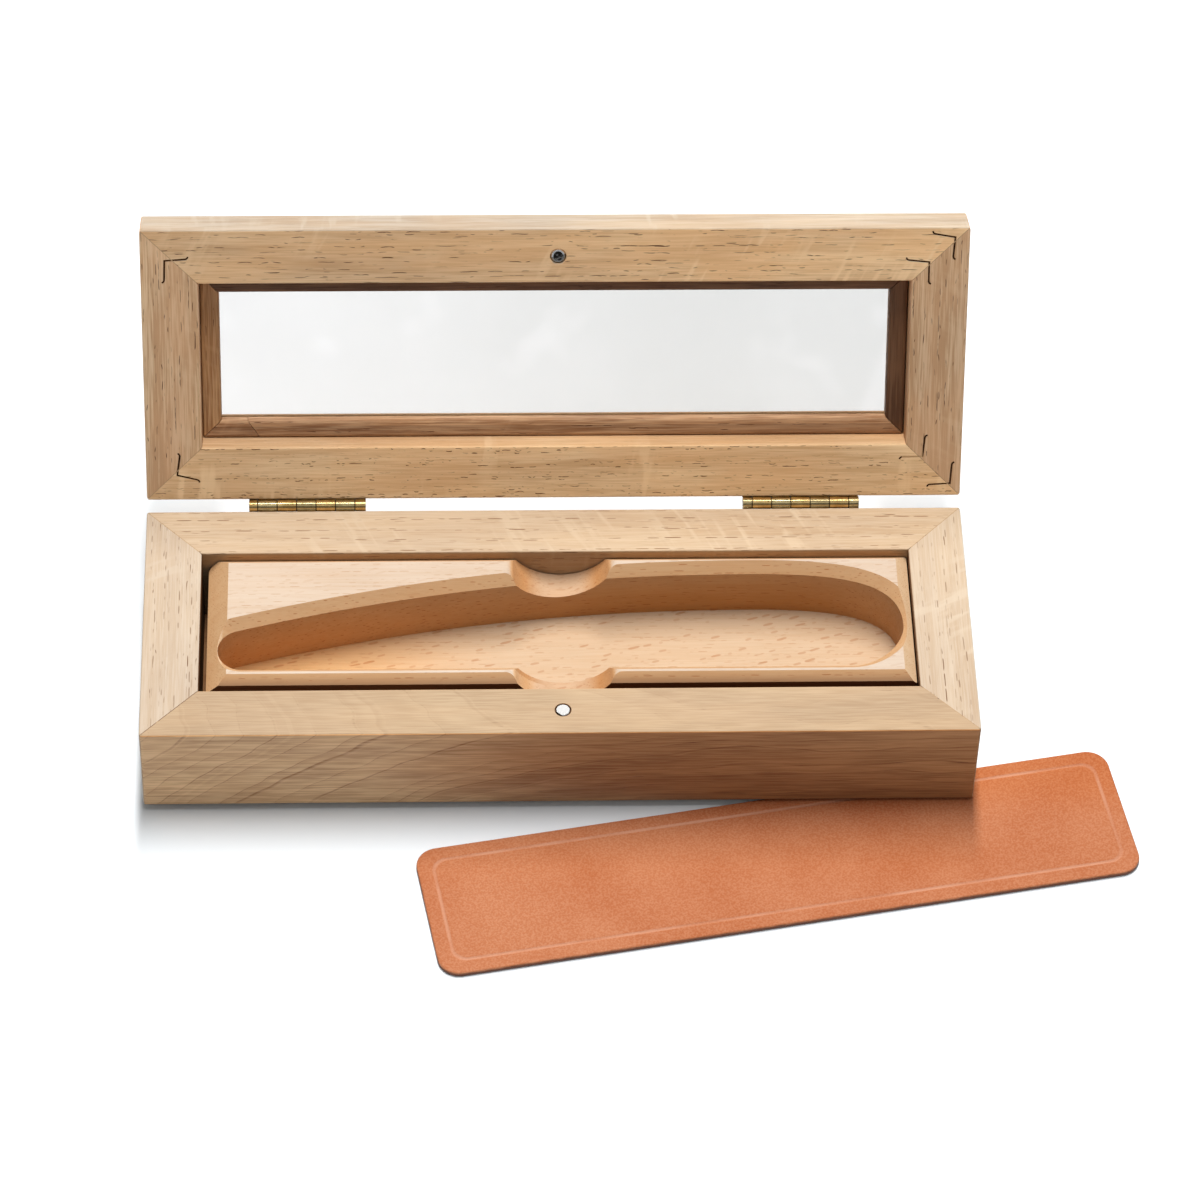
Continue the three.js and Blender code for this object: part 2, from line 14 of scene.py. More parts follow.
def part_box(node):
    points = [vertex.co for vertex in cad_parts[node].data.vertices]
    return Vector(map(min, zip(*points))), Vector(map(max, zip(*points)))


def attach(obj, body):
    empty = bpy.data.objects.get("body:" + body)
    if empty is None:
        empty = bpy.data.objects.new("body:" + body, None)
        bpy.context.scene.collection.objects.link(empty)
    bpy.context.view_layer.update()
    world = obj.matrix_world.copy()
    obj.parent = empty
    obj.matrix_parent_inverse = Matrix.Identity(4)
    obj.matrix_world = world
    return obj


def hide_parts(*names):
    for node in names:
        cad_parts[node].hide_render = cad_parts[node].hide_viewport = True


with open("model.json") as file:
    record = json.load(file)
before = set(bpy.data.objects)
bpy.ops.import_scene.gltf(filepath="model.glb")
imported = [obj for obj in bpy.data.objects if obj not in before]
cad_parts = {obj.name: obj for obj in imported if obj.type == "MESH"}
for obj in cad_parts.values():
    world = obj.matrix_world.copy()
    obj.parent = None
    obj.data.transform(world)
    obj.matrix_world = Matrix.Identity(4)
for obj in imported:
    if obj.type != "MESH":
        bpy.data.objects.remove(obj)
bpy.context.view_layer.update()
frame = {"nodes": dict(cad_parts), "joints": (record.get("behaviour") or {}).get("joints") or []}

MM = 0.001
LOG = logging.getLogger("razor_display_box")

Socket = bpy.types.NodeSocket
Colour = tuple[float, float, float, float]
PLAIN: Colour = (1.0, 1.0, 1.0, 1.0)
UPWARD = Vector((0.0, 0.0, 1.0))
STUDIO_LIGHT = 1.5


def rgb(red: int, green: int, blue: int) -> Colour:
    """A colour written as 0 to 255 screen values, as the linear values that a shader takes.

    Args:
        red: screen value of red.
        green: screen value of green.
        blue: screen value of blue.

    Returns:
        Linear red, green, blue and an alpha of 1, by the standard screen curve.
    """
    screen = np.array([red, green, blue]) / 255
    linear = np.where(screen <= 0.04045, screen / 12.92, ((screen + 0.055) / 1.055) ** 2.4)
    return (*(float(value) for value in linear), 1.0)


def lit(red: int, green: int, blue: int) -> Colour:
    """The reflectance that gives a colour, in the same screen values, in the studio's full light."""
    return (*(value / STUDIO_LIGHT for value in rgb(red, green, blue)[:3]), 1.0)


class Value:
    """A value that a node graph works out, for use in further sums."""

    def __init__(self, graph: "Graph", socket: Socket) -> None:
        """Keeps the graph and the output that gives the value."""
        self.graph = graph
        self.socket = socket

    def __add__(self, other: object) -> "Value":
        """This value plus another."""
        return self.graph.math("ADD", self, other)

    def __radd__(self, other: object) -> "Value":
        """A plain number plus this value."""
        return self.graph.math("ADD", other, self)

    def __sub__(self, other: object) -> "Value":
        """This value less another."""
        return self.graph.math("SUBTRACT", self, other)

    def __rsub__(self, other: object) -> "Value":
        """A plain number less this value."""
        return self.graph.math("SUBTRACT", other, self)

    def __mul__(self, other: object) -> "Value":
        """This value times another."""
        return self.graph.math("MULTIPLY", self, other)

    def __truediv__(self, other: object) -> "Value":
        """This value divided by another."""
        return self.graph.math("DIVIDE", self, other)

    def __rtruediv__(self, other: object) -> "Value":
        """A plain number divided by this value."""
        return self.graph.math("DIVIDE", other, self)

    def __abs__(self) -> "Value":
        """This value without its sign."""
        return self.graph.math("ABSOLUTE", self)

    def root(self) -> "Value":
        """The square root of this value."""
        return self.graph.math("SQRT", self)

    def floor(self) -> "Value":
        """The whole part of this value."""
        return self.graph.math("FLOOR", self)

    def fraction(self) -> "Value":
        """What this value has past its whole part."""
        return self.graph.math("FRACT", self)

    def larger(self, other: object) -> "Value":
        """The larger of this value and another."""
        return self.graph.math("MAXIMUM", self, other)

    def below(self, limit: object) -> "Value":
        """1 where this value is under a limit, and 0 elsewhere."""
        return self.graph.math("LESS_THAN", self, limit)

    def above(self, limit: object) -> "Value":
        """1 where this value is over a limit, and 0 elsewhere."""
        return self.graph.math("GREATER_THAN", self, limit)

    def ramp(self, low: object, high: object, to_low: object = 0.0, to_high: object = 1.0) -> "Value":
        """A smooth step from one result to another as this value grows from low to high."""
        return self.graph.value("MapRange", self, low, high, to_low, to_high,
                                interpolation_type="SMOOTHSTEP")


class Graph:
    """Adds nodes to one node tree and joins them."""

    def __init__(self, tree: bpy.types.NodeTree) -> None:
        """Starts on an emptied tree."""
        self.tree = tree
        tree.nodes.clear()

    def node(self, kind: str, *inputs: object, **values: object) -> bpy.types.Node:
        """A node of one kind, with its properties and inputs set.

        Args:
            kind: Blender's name for the node, without the ShaderNode prefix.
            inputs: what its first inputs take, in their order.
            values: properties of the node, or inputs by their name with underscores for blanks.

        Returns:
            The new node.
        """
        name = kind if kind.startswith("NodeGroup") else f"ShaderNode{kind}"
        made = self.tree.nodes.new(name)
        for key, value in values.items():
            if hasattr(made, key):
                setattr(made, key, value)
            else:
                self.put(made.inputs[key.replace("_", " ")], value)
        for socket, value in zip(made.inputs, inputs):
            self.put(socket, value)
        return made

    def put(self, socket: Socket, value: object) -> None:
        """Links an output to an input, or sets the input to a plain value.

        Args:
            socket: the input that is set.
            value: a value of the graph, a node's output, or a number, colour or vector.
        """
        source = value.socket if isinstance(value, Value) else value
        if isinstance(source, bpy.types.NodeSocket):
            self.tree.links.new(source, socket)
        else:
            socket.default_value = source

    def value(self, kind: str, *inputs: object, output: int | str = 0, **values: object) -> Value:
        """One output, by its place or name, of a new node that is set as in node."""
        return Value(self, self.node(kind, *inputs, **values).outputs[output])

    def group(self, tree: bpy.types.NodeTree, **values: object) -> dict[str, Value]:
        """The outputs by name of a shared group that is placed here, with its inputs set as in node."""
        made = self.node("Group", node_tree=tree, **values)
        return {output.name: Value(self, output) for output in made.outputs}

    def math(self, operation: str, first: object, second: object = 0.0, clamp: bool = False) -> Value:
        """The result of a sum, by Blender's name for it, kept between 0 and 1 where it is clamped."""
        return self.value("Math", first, second, operation=operation, use_clamp=clamp)

    def split(self, vector: object) -> list[Value]:
        """The three parts of a vector."""
        return [Value(self, output) for output in self.node("SeparateXYZ", vector).outputs]

    def reach(self, vector: object, direction: object) -> Value:
        """How far a vector goes in a direction."""
        return self.value("VectorMath", vector, direction, operation="DOT_PRODUCT", output="Value")

    def blend(self, factor: object, first: object, second: object, mode: str = "MIX") -> Value:
        """A mix of two colours.

        Args:
            factor: how much of the second colour shows, from 0 to 1.
            first: first colour.
            second: second colour.
            mode: Blender's name for the kind of mix.

        Returns:
            The mixed colour.
        """
        made = self.node("Mix", factor, data_type="RGBA", blend_type=mode, clamp_factor=True)
        colours = [socket for socket in made.inputs if socket.type == "RGBA"]
        self.put(colours[0], first)
        self.put(colours[1], second)
        return Value(self, next(socket for socket in made.outputs if socket.type == "RGBA"))

    def noise(self, vector: object, scale: float | tuple[float, float, float],
              detail: float = 2.0) -> Value:
        """Smooth noise from 0 to 1.

        Args:
            vector: the coordinates that it reads.
            scale: turns of the noise for each metre, along all axes or each of them.
            detail: how many finer layers are added.

        Returns:
            The noise.
        """
        factors = scale if isinstance(scale, tuple) else (scale, scale, scale)
        stretched = self.value("VectorMath", vector, factors, operation="MULTIPLY")
        return self.value("TexNoise", Vector=stretched, Scale=1.0, Detail=detail, Roughness=0.55)

    def bump(self, strength: float, distance: float, height: Value) -> Value:
        """The normal of a surface with a relief of a given depth in metres."""
        return self.value("Bump", Strength=strength, Distance=distance, Height=height)


class Surface(Graph):
    """The graph of one new material, with the places and normals of the piece that it covers."""

    def __init__(self, name: str) -> None:
        """Starts the material.

        Args:
            name: the material's name.
        """
        self.material = bpy.data.materials.new(name)
        self.material.use_nodes = True
        super().__init__(self.material.node_tree)
        source = self.node("TexCoord")
        self.place = Value(self, source.outputs["Object"])
        self.normal = Value(self, source.outputs["Normal"])

    def done(self, **inputs: object) -> bpy.types.Material:
        """Ends the graph in a Principled shader.

        Args:
            inputs: the shader's inputs by name, with underscores for blanks.

        Returns:
            The material.
        """
        shader = self.node("BsdfPrincipled", **inputs)
        self.node("OutputMaterial", Surface=shader.outputs[0])
        return self.material


class GrainGroups:
    """The shader groups that the woods share, each built once."""

    section_turn = ((0.89, -0.456), (0.456, 0.89))
    row_shift = 17.3

    def __init__(self) -> None:
        """Builds the four groups."""
        self.rings = self._rings()
        self.dashes = self._dashes()
        self.fibres = self._fibres()
        self.rays = self._rays()

    @staticmethod
    def _start(name: str, sockets: dict[str, float]) -> tuple[Graph, dict[str, Value]]:
        """An empty group with a vector input and the named number inputs.

        Args:
            name: the group's name.
            sockets: its number inputs and their defaults.

        Returns:
            The graph of the group, and its inputs by name.
        """
        tree = bpy.data.node_groups.new(name, "ShaderNodeTree")
        tree.interface.new_socket("Vector", in_out="INPUT", socket_type="NodeSocketVector")
        for label, default in sockets.items():
            made = tree.interface.new_socket(label, in_out="INPUT", socket_type="NodeSocketFloat")
            made.default_value = default
        graph = Graph(tree)
        given = graph.node("NodeGroupInput").outputs
        return graph, {label: Value(graph, given[label]) for label in ("Vector", *sockets)}

    @staticmethod
    def _end(graph: Graph, results: dict[str, Value]) -> bpy.types.NodeTree:
        """Gives a group its number outputs.

        Args:
            graph: the graph of the group.
            results: what it puts out, by name.

        Returns:
            The group.
        """
        for label in results:
            graph.tree.interface.new_socket(label, in_out="OUTPUT", socket_type="NodeSocketFloat")
        graph.node("NodeGroupOutput", *results.values())
        return graph.tree

    def _rings(self) -> bpy.types.NodeTree:
        """Growth rings round a pith that runs along X.

        The distance from the pith, plus a square of the length before the crest, plus a slow wander,
        is divided by the ring spacing and shifted by noise along it, so that rings differ in width.
        The fraction is the phase, and the whole part gives each ring a tone.

        Returns:
            The group, with the outputs Early, 1 in the porous start of a ring, Late, which grows to 1
            at its end, and Tone.
        """
        graph, given = self._start("growth_rings", {
            "Pith Y": 0.0, "Pith Z": -0.1, "Spacing": 0.003, "Crest X": 0.0, "Crest Curve": 0.0,
            "Wander": 0.001, "Unevenness": 0.6, "Early Width": 0.3,
        })
        along, across, upward = graph.split(given["Vector"])
        across = across - given["Pith Y"]
        upward = upward - given["Pith Z"]
        before = graph.math("MINIMUM", along - given["Crest X"], 0.0)
        bow = before * before * given["Crest Curve"]
        wander = (graph.noise(given["Vector"], (22, 60, 60)) - 0.5) * given["Wander"]
        distance = (across * across + upward * upward).root() + bow + wander
        turns = distance / given["Spacing"]
        uneven = graph.value("TexNoise", noise_dimensions="1D", W=turns * 0.7, Scale=1.0, Detail=1.0)
        turns = turns + (uneven - 0.5) * (given["Unevenness"] * 4.0)
        phase = turns.fraction()
        rise = phase.ramp(0.0, 0.07)
        fall = phase.ramp(0.08, given["Early Width"], 1.0, 0.0)
        tone = graph.value("TexWhiteNoise", noise_dimensions="1D", W=turns.floor())
        return self._end(graph, {"Early": rise * fall, "Late": phase.ramp(0.25, 1.0), "Tone": tone})

    def _dashes(self) -> bpy.types.NodeTree:
        """Separate short dashes along X, such as open pores or flecks.

        The section across the grain is turned a little and cut into square cells, each row of cells
        is shifted by its own amount along the grain, and each cell holds one spindle of its own
        length, place and depth, or none. A slow wave of the coordinates bends the spindles.

        Returns:
            The group, with the output Mask, 1 in a dash and 0 beside it.
        """
        graph, given = self._start("short_dashes", {
            "Length": 0.004, "Cell": 0.0005, "Width": 0.00016, "Share": 0.8, "Bend": 0.0003,
            "Bend Length": 0.003,
        })
        along, across, upward = graph.split(given["Vector"])
        slow = graph.value("VectorMath", given["Vector"], operation="SCALE",
                           Scale=1.0 / given["Bend Length"])
        shift = (graph.value("TexNoise", Vector=slow, Scale=1.0, Detail=1.0) - 0.5) * given["Bend"]
        across = across + shift
        upward = upward + shift
        turned = [(across * first + upward * second) / given["Cell"]
                  for first, second in self.section_turn]
        rows = [value.floor() for value in turned]
        row = graph.value("TexWhiteNoise", noise_dimensions="2D", Vector=graph.value("CombineXYZ", *rows))
        along = along / given["Length"] + row * self.row_shift
        cell = graph.node("TexWhiteNoise", noise_dimensions="3D",
                          Vector=graph.value("CombineXYZ", along.floor(), *rows))
        chance = graph.split(cell.outputs["Color"])
        half_length = chance[0].ramp(0.0, 1.0, 0.14, 0.48)
        half_width = given["Width"] / (given["Cell"] * 2.0)
        reach = (along.fraction() - 0.5) / half_length
        apart = [reach * reach]
        for value, random in zip(turned, chance[:2]):
            apart.append((value.fraction() - (random * 0.4 + 0.3)) / half_width)
        away = graph.value("VectorMath", graph.value("CombineXYZ", *apart), operation="LENGTH",
                           output="Value")
        spindle = away.ramp(0.65, 1.0, 1.0, 0.0)
        held = chance[2].below(given["Share"])
        depth = Value(graph, cell.outputs["Value"]).ramp(0.0, 1.0, 0.4, 1.0)
        return self._end(graph, {"Mask": spindle * held * depth})

    def _fibres(self) -> bpy.types.NodeTree:
        """Fine streaks along X on top of slow changes of tone and of warmth.

        Returns:
            The group, with the outputs Streak, Cloud and Warmth, each from 0 to 1.
        """
        graph, given = self._start("wood_fibres", {"Coarse": 0.4})
        vector = given["Vector"]
        coarse = graph.noise(vector, (22, 520, 520)) * given["Coarse"]
        fine = graph.noise(vector, (90, 2500, 2500)) * (1.0 - given["Coarse"])
        return self._end(graph, {
            "Streak": (coarse + fine).ramp(0.36, 0.64),
            "Cloud": graph.noise(vector, (16, 80, 80), 3.0).ramp(0.3, 0.7),
            "Warmth": graph.noise(vector, (26, 110, 110), 3.0).ramp(0.34, 0.66),
        })

    def _rays(self) -> bpy.types.NodeTree:
        """Pale smears that cross the grain, in loose clusters.

        Returns:
            The group, with the output Mask.
        """
        graph, given = self._start("ray_smears", {"Lean": 0.5, "Amount": 0.0})
        along, across, upward = graph.split(given["Vector"])
        leant = graph.value("CombineXYZ", along + across * given["Lean"], across, upward)
        smears = graph.noise(leant, (300, 50, 50)).ramp(0.5, 0.66)
        clusters = graph.noise(given["Vector"], (38, 30, 30), 1.0).ramp(0.45, 0.62)
        return self._end(graph, {"Mask": smears * clusters * given["Amount"]})


def lid_turn() -> tuple[Vector, Matrix]:
    """The lid hinge's place, and the turn that closes the lid from its rest pose."""
    hinge = next(joint for joint in frame["joints"] if joint["name"] == "lid_hinge")
    return Vector(hinge["pos_m"]), Matrix.Rotation(math.radians(hinge["range_deg"][1]), 3, "X")


def closed_points(name: str, in_lid: bool) -> np.ndarray:
    """A node's corners with the lid closed.

    Args:
        name: the node's name.
        in_lid: whether the node turns with the lid.

    Returns:
        The corners, one row each, in metres.
    """
    vertices = frame["nodes"][name].data.vertices
    points = np.empty(len(vertices) * 3)
    vertices.foreach_get("co", points)
    points = points.reshape(-1, 3)
    if not in_lid:
        return points
    axis, swing = lid_turn()
    return (points - np.array(axis)) @ np.array(swing).T + np.array(axis)


class Place(Enum):
    """Where a wooden piece is, in the lid or not, and whether its grain runs from front to back."""

    BASE_LENGTHWISE = (False, False)
    BASE_CROSSWISE = (False, True)
    LID_LENGTHWISE = (True, False)
    LID_CROSSWISE = (True, True)

    def mapping(self, seed: float) -> tuple[Vector, Euler]:
        """The shift and turn from the box at rest to the piece's own grain, with the lid closed.

        Args:
            seed: a length along the grain that gives the piece a figure of its own.

        Returns:
            The location and the rotation of a Mapping node.
        """
        in_lid, crosswise = self.value
        axis, swing = lid_turn()
        if not in_lid:
            swing = Matrix.Identity(3)
        turn = Euler((swing.to_euler().x, 0.0, math.radians(90) if crosswise else 0.0))
        side = Matrix.Rotation(turn.z, 3, "Z")
        return side @ (axis - swing @ axis) + Vector((seed, 0.0, 0.0)), turn


@dataclass(frozen=True)
class Dashes:
    """Sizes of the dashes of one kind along the grain, in metres, and the share of cells with one."""

    length: float
    cell: float
    width: float
    share: float
    bend: float = 0.3 * MM
    bend_length: float = 3.0 * MM


@dataclass(frozen=True)
class WoodTints:
    """Factors on the colour of single parts of the woods; all but cool and heart are painted light or
    shade.
    """

    cool: Colour = (0.88, 0.92, 1.04, 1.0)
    heart: Colour = (0.62, 0.5, 0.4, 1.0)
    # Painted shade in the insert's pocket: toward its floor, on the floor at the narrow end, and on the
    # walls.
    deep: Colour = (0.99, 0.88, 0.73, 1.0)
    narrow: Colour = (1.19, 0.94, 0.62, 1.0)
    far: Colour = (0.8, 0.68, 0.47, 1.0)
    # Painted light on the slope at the insert's right end.
    painted_slope_light: Colour = (1.18, 1.36, 1.6, 1.0)
    # Painted shade in the narrow gap round the insert.
    gap: Colour = (0.34, 0.22, 0.14, 1.0)
    # Painted highlight along the top edge of the front rail's face.
    crown_highlight: Colour = (1.42, 1.2, 0.92, 1.0)
    # Painted shade, warmer and darker, in the finger notches.
    notch_shade: Colour = (0.96, 0.84, 0.74, 1.0)
    # Painted highlight on the beads' strip beside the glass.
    lip: Colour = (1.3, 1.27, 1.22, 1.0)
    # Painted light on the lid's top edge, which turns it greyer and less red.
    edge: Colour = (0.63, 0.765, 1.03, 1.0)


@dataclass(frozen=True)
class WoodFinish:
    """Colours and figure of one kind of wood; lengths are in metres."""

    pale: Colour
    dark: Colour
    warm: Colour
    pore: Colour
    pores: Dashes
    early_share: float = 0.1
    late_share: float = 0.12
    streak_share: float = 0.38
    coarse: float = 0.4
    cloud_share: float = 0.34
    tone_share: float = 0.14
    warm_share: float = 0.5
    cool_share: float = 0.4
    spacing: float = 3.4 * MM
    wander: float = 2.0 * MM
    unevenness: float = 0.12
    early_width: float = 0.42
    line_gaps: float = 0.0
    pore_strength: float = 0.7
    steep_pores: float = 0.0
    wall_pores: float = 1.0
    hair_share: float = 0.0
    flecks: Dashes | None = None
    fleck: Colour = PLAIN
    fleck_strength: float = 0.5
    fleck_lean: float = 0.0
    ray_amount: float = 0.35
    ray_lean: float = 0.5
    upright: float = 0.5
    # side: painted light and shade, a factor on steep faces that level faces don't get.
    side: Colour = (0.86, 0.78, 0.68, 1.0)
    # wall: painted shade on the lid's faces that are not parallel to its panel.
    wall: Colour = PLAIN
    # front and front_top: painted shade on the faces that look forward near the front, and a painted
    # highlight at their top.
    front: Colour = PLAIN
    front_top: Colour = PLAIN
    front_until: float = -17 * MM
    # Painted light that grows toward the right, as a factor.
    painted_light_rightward: Colour = PLAIN
    roughness: float = 0.5
    relief: float = 0.12 * MM


@dataclass(frozen=True)
class WoodPiece:
    """One wooden node: how its grain lies and which of its parts have a tint of their own."""

    node: str
    place: Place
    seed: float
    pith: tuple[float, float]
    finish: WoodFinish
    crest: tuple[float, float] = (0.0, 0.0)
    calm_top: float = 0.0
    # fade_up: heights over which the pocket's painted shade, and the flecks, fade out upward.
    fade_up: tuple[float, float] | None = None
    heart: tuple[float, float] | None = None
    # notch: centre and reach along X of the finger notches, which take painted shade.
    notch: tuple[float, float] | None = None
    painted_light_top_edge: bool = False
    # lip: width of the painted highlight on a bead's strip beside the glass.
    lip: float = 0.0
    # The depth of the painted highlight under the top edge of the upright faces.
    crown_highlight: float = 0.0
    # by_insert: painted shade in the gap round the insert, and painted light on its right-end slope.
    by_insert: bool = False


TINTS = WoodTints()
HAIRS = Dashes(24 * MM, 0.9 * MM, 0.24 * MM, 1.0, 2.2 * MM, 9 * MM)
OAK = WoodFinish(
    pale=lit(239, 213, 181), dark=lit(210, 174, 135), warm=lit(240, 204, 163), pore=lit(146, 98, 56),
    pores=Dashes(5.0 * MM, 0.55 * MM, 0.34 * MM, 1.0), early_width=0.6, ray_amount=0.7,
    wander=4.0 * MM, pore_strength=0.85, streak_share=0.46, painted_light_rightward=(1.07, 1.06, 1.03, 1.0),
)
SIDE_OAK = replace(OAK, pale=lit(236, 216, 192), dark=lit(208, 177, 144), warm=lit(238, 211, 178),
                   pore=lit(128, 84, 46), pores=replace(OAK.pores, share=0.95), hair_share=0.12)
# The lid's oaks take plain reflectances, paler than the base's oak: painted light on the lid, whose inner
# face the lamps only graze.
LID_OAK = replace(
    OAK, pale=rgb(233, 198, 155), dark=rgb(188, 146, 102), warm=rgb(231, 178, 122), pore=rgb(74, 40, 14),
    pores=Dashes(7.0 * MM, 0.6 * MM, 0.26 * MM, 0.8, 0.9 * MM, 3.6 * MM), pore_strength=1.0,
    streak_share=0.5, cloud_share=0.4, tone_share=0.08, late_share=0.04, side=PLAIN, early_width=0.85,
    wander=6.0 * MM, warm_share=0.8, hair_share=0.85, wall_pores=0.2, painted_light_rightward=(1.12, 1.11, 1.08, 1.0),
)
CURLY_OAK = replace(
    LID_OAK, pale=rgb(243, 209, 164), dark=rgb(200, 158, 110), pore=rgb(112, 70, 34),
    pores=Dashes(4.4 * MM, 0.6 * MM, 0.3 * MM, 0.85, 1.5 * MM, 2.4 * MM), spacing=4.4 * MM,
    early_width=0.95, ray_lean=0.1, relief=0.2 * MM, hair_share=0.0, wall=(0.82, 0.79, 0.79, 1.0),
)
PLAIN_OAK = replace(
    LID_OAK, pale=rgb(226, 195, 157), dark=rgb(187, 146, 106), warm=rgb(228, 178, 132),
    pores=replace(LID_OAK.pores, share=0.7), streak_share=0.9, ray_amount=0.15, hair_share=0.4,
    painted_light_rightward=PLAIN,
)
BEAD_OAK = replace(
    PLAIN_OAK, pale=lit(234, 192, 150), dark=lit(160, 114, 79), warm=lit(228, 174, 124),
    pores=replace(LID_OAK.pores, share=0.5), spacing=2.2 * MM, hair_share=0.3, wall_pores=1.0,
)
# Beads' oak, darkened: painted shade for the beads that their rails shade.
PAINTED_SHADE_BEAD_OAK = replace(BEAD_OAK, pale=lit(146, 104, 70), dark=lit(98, 65, 42), warm=lit(142, 98, 64))
# Beads' oak with painted light on its steep faces, for the left bead.
PAINTED_LIGHT_BEAD_OAK = replace(BEAD_OAK, side=(1.13, 1.08, 0.92, 1.0))
FACE_OAK = replace(
    OAK, pale=lit(228, 199, 162), dark=lit(146, 104, 68), pore=lit(104, 70, 42),
    pores=Dashes(4.0 * MM, 0.55 * MM, 0.3 * MM, 0.85), early_share=0.5, late_share=0.13,
    spacing=6.0 * MM, wander=9.0 * MM, unevenness=0.5, early_width=0.13, coarse=0.14,
    pore_strength=0.5, ray_amount=0.0, line_gaps=0.6, side=(1.3, 1.13, 0.94, 1.0), streak_share=0.42,
    cloud_share=0.24, cool_share=0.25, painted_light_rightward=(1.04, 1.03, 1.02, 1.0),
)
BEECH = replace(
    OAK, pale=lit(240, 221, 201), dark=lit(224, 193, 162), warm=lit(238, 208, 179), pore=lit(196, 146, 102),
    pores=Dashes(3.0 * MM, 0.55 * MM, 0.24 * MM, 0.6, 0.15 * MM), early_share=0.0, late_share=0.05,
    streak_share=0.36, cloud_share=0.3, pore_strength=0.6, early_width=1.5, steep_pores=0.4,
    flecks=Dashes(3.6 * MM, 1.3 * MM, 0.85 * MM, 0.55, 0.5 * MM), fleck=lit(192, 130, 76),
    fleck_lean=-0.3, ray_amount=0.0, relief=0.015 * MM, roughness=0.46, cool_share=0.12, upright=0.72,
    side=(1.05, 0.81, 0.55, 1.0), front=(0.52, 0.475, 0.51, 1.0), front_top=(1.14, 1.1, 1.06, 1.0),
    painted_light_rightward=PLAIN,
)
PANEL_OAK = replace(OAK, pores=replace(OAK.pores, share=0.5), painted_light_rightward=PLAIN)

PIECES: list[WoodPiece] = [
    WoodPiece("base_rail_front", Place.BASE_LENGTHWISE, 0.0, (0.02, -0.09), FACE_OAK,
              crest=(0.04, 3.1), calm_top=0.55, heart=(-62 * MM, 18 * MM), crown_highlight=0.5 * MM),
    WoodPiece("base_rail_back", Place.BASE_LENGTHWISE, 1.3, (0.25, 0.0), OAK),
    WoodPiece("base_rail_left", Place.BASE_CROSSWISE, 2.1, (-0.3, 0.01), SIDE_OAK, by_insert=True),
    WoodPiece("base_rail_right", Place.BASE_CROSSWISE, 3.7, (0.3, 0.05), SIDE_OAK, by_insert=True),
    WoodPiece("lid_rail_front", Place.LID_LENGTHWISE, 4.4, (-0.2, 0.06), LID_OAK, painted_light_top_edge=True),
    WoodPiece("lid_rail_back", Place.LID_LENGTHWISE, 5.2, (0.2, 0.03), CURLY_OAK),
    WoodPiece("lid_rail_left", Place.LID_CROSSWISE, 6.3, (-0.3, 0.03), PLAIN_OAK),
    WoodPiece("lid_rail_right", Place.LID_CROSSWISE, 7.9, (0.3, 0.02), PLAIN_OAK),
    WoodPiece("bead_front", Place.LID_LENGTHWISE, 8.2, (-0.1, 0.1), PAINTED_SHADE_BEAD_OAK),
    WoodPiece("bead_back_short", Place.LID_LENGTHWISE, 9.1, (0.1, 0.1), BEAD_OAK, lip=1.5 * MM),
    WoodPiece("bead_back_long", Place.LID_LENGTHWISE, 9.9, (0.1, 0.09), BEAD_OAK, lip=1.5 * MM),
    WoodPiece("bead_left", Place.LID_CROSSWISE, 10.4, (-0.2, 0.1), PAINTED_LIGHT_BEAD_OAK),
    WoodPiece("bead_right", Place.LID_CROSSWISE, 11.6, (0.2, 0.1), PAINTED_SHADE_BEAD_OAK),
    WoodPiece("bottom_panel", Place.BASE_LENGTHWISE, 12.7, (0.0, -0.05), PANEL_OAK, by_insert=True),
    WoodPiece("insert", Place.BASE_LENGTHWISE, 13.5, (0.01, -0.06), BEECH, fade_up=(14 * MM, 30 * MM),
              notch=(1.2 * MM, 17 * MM), by_insert=True),
]


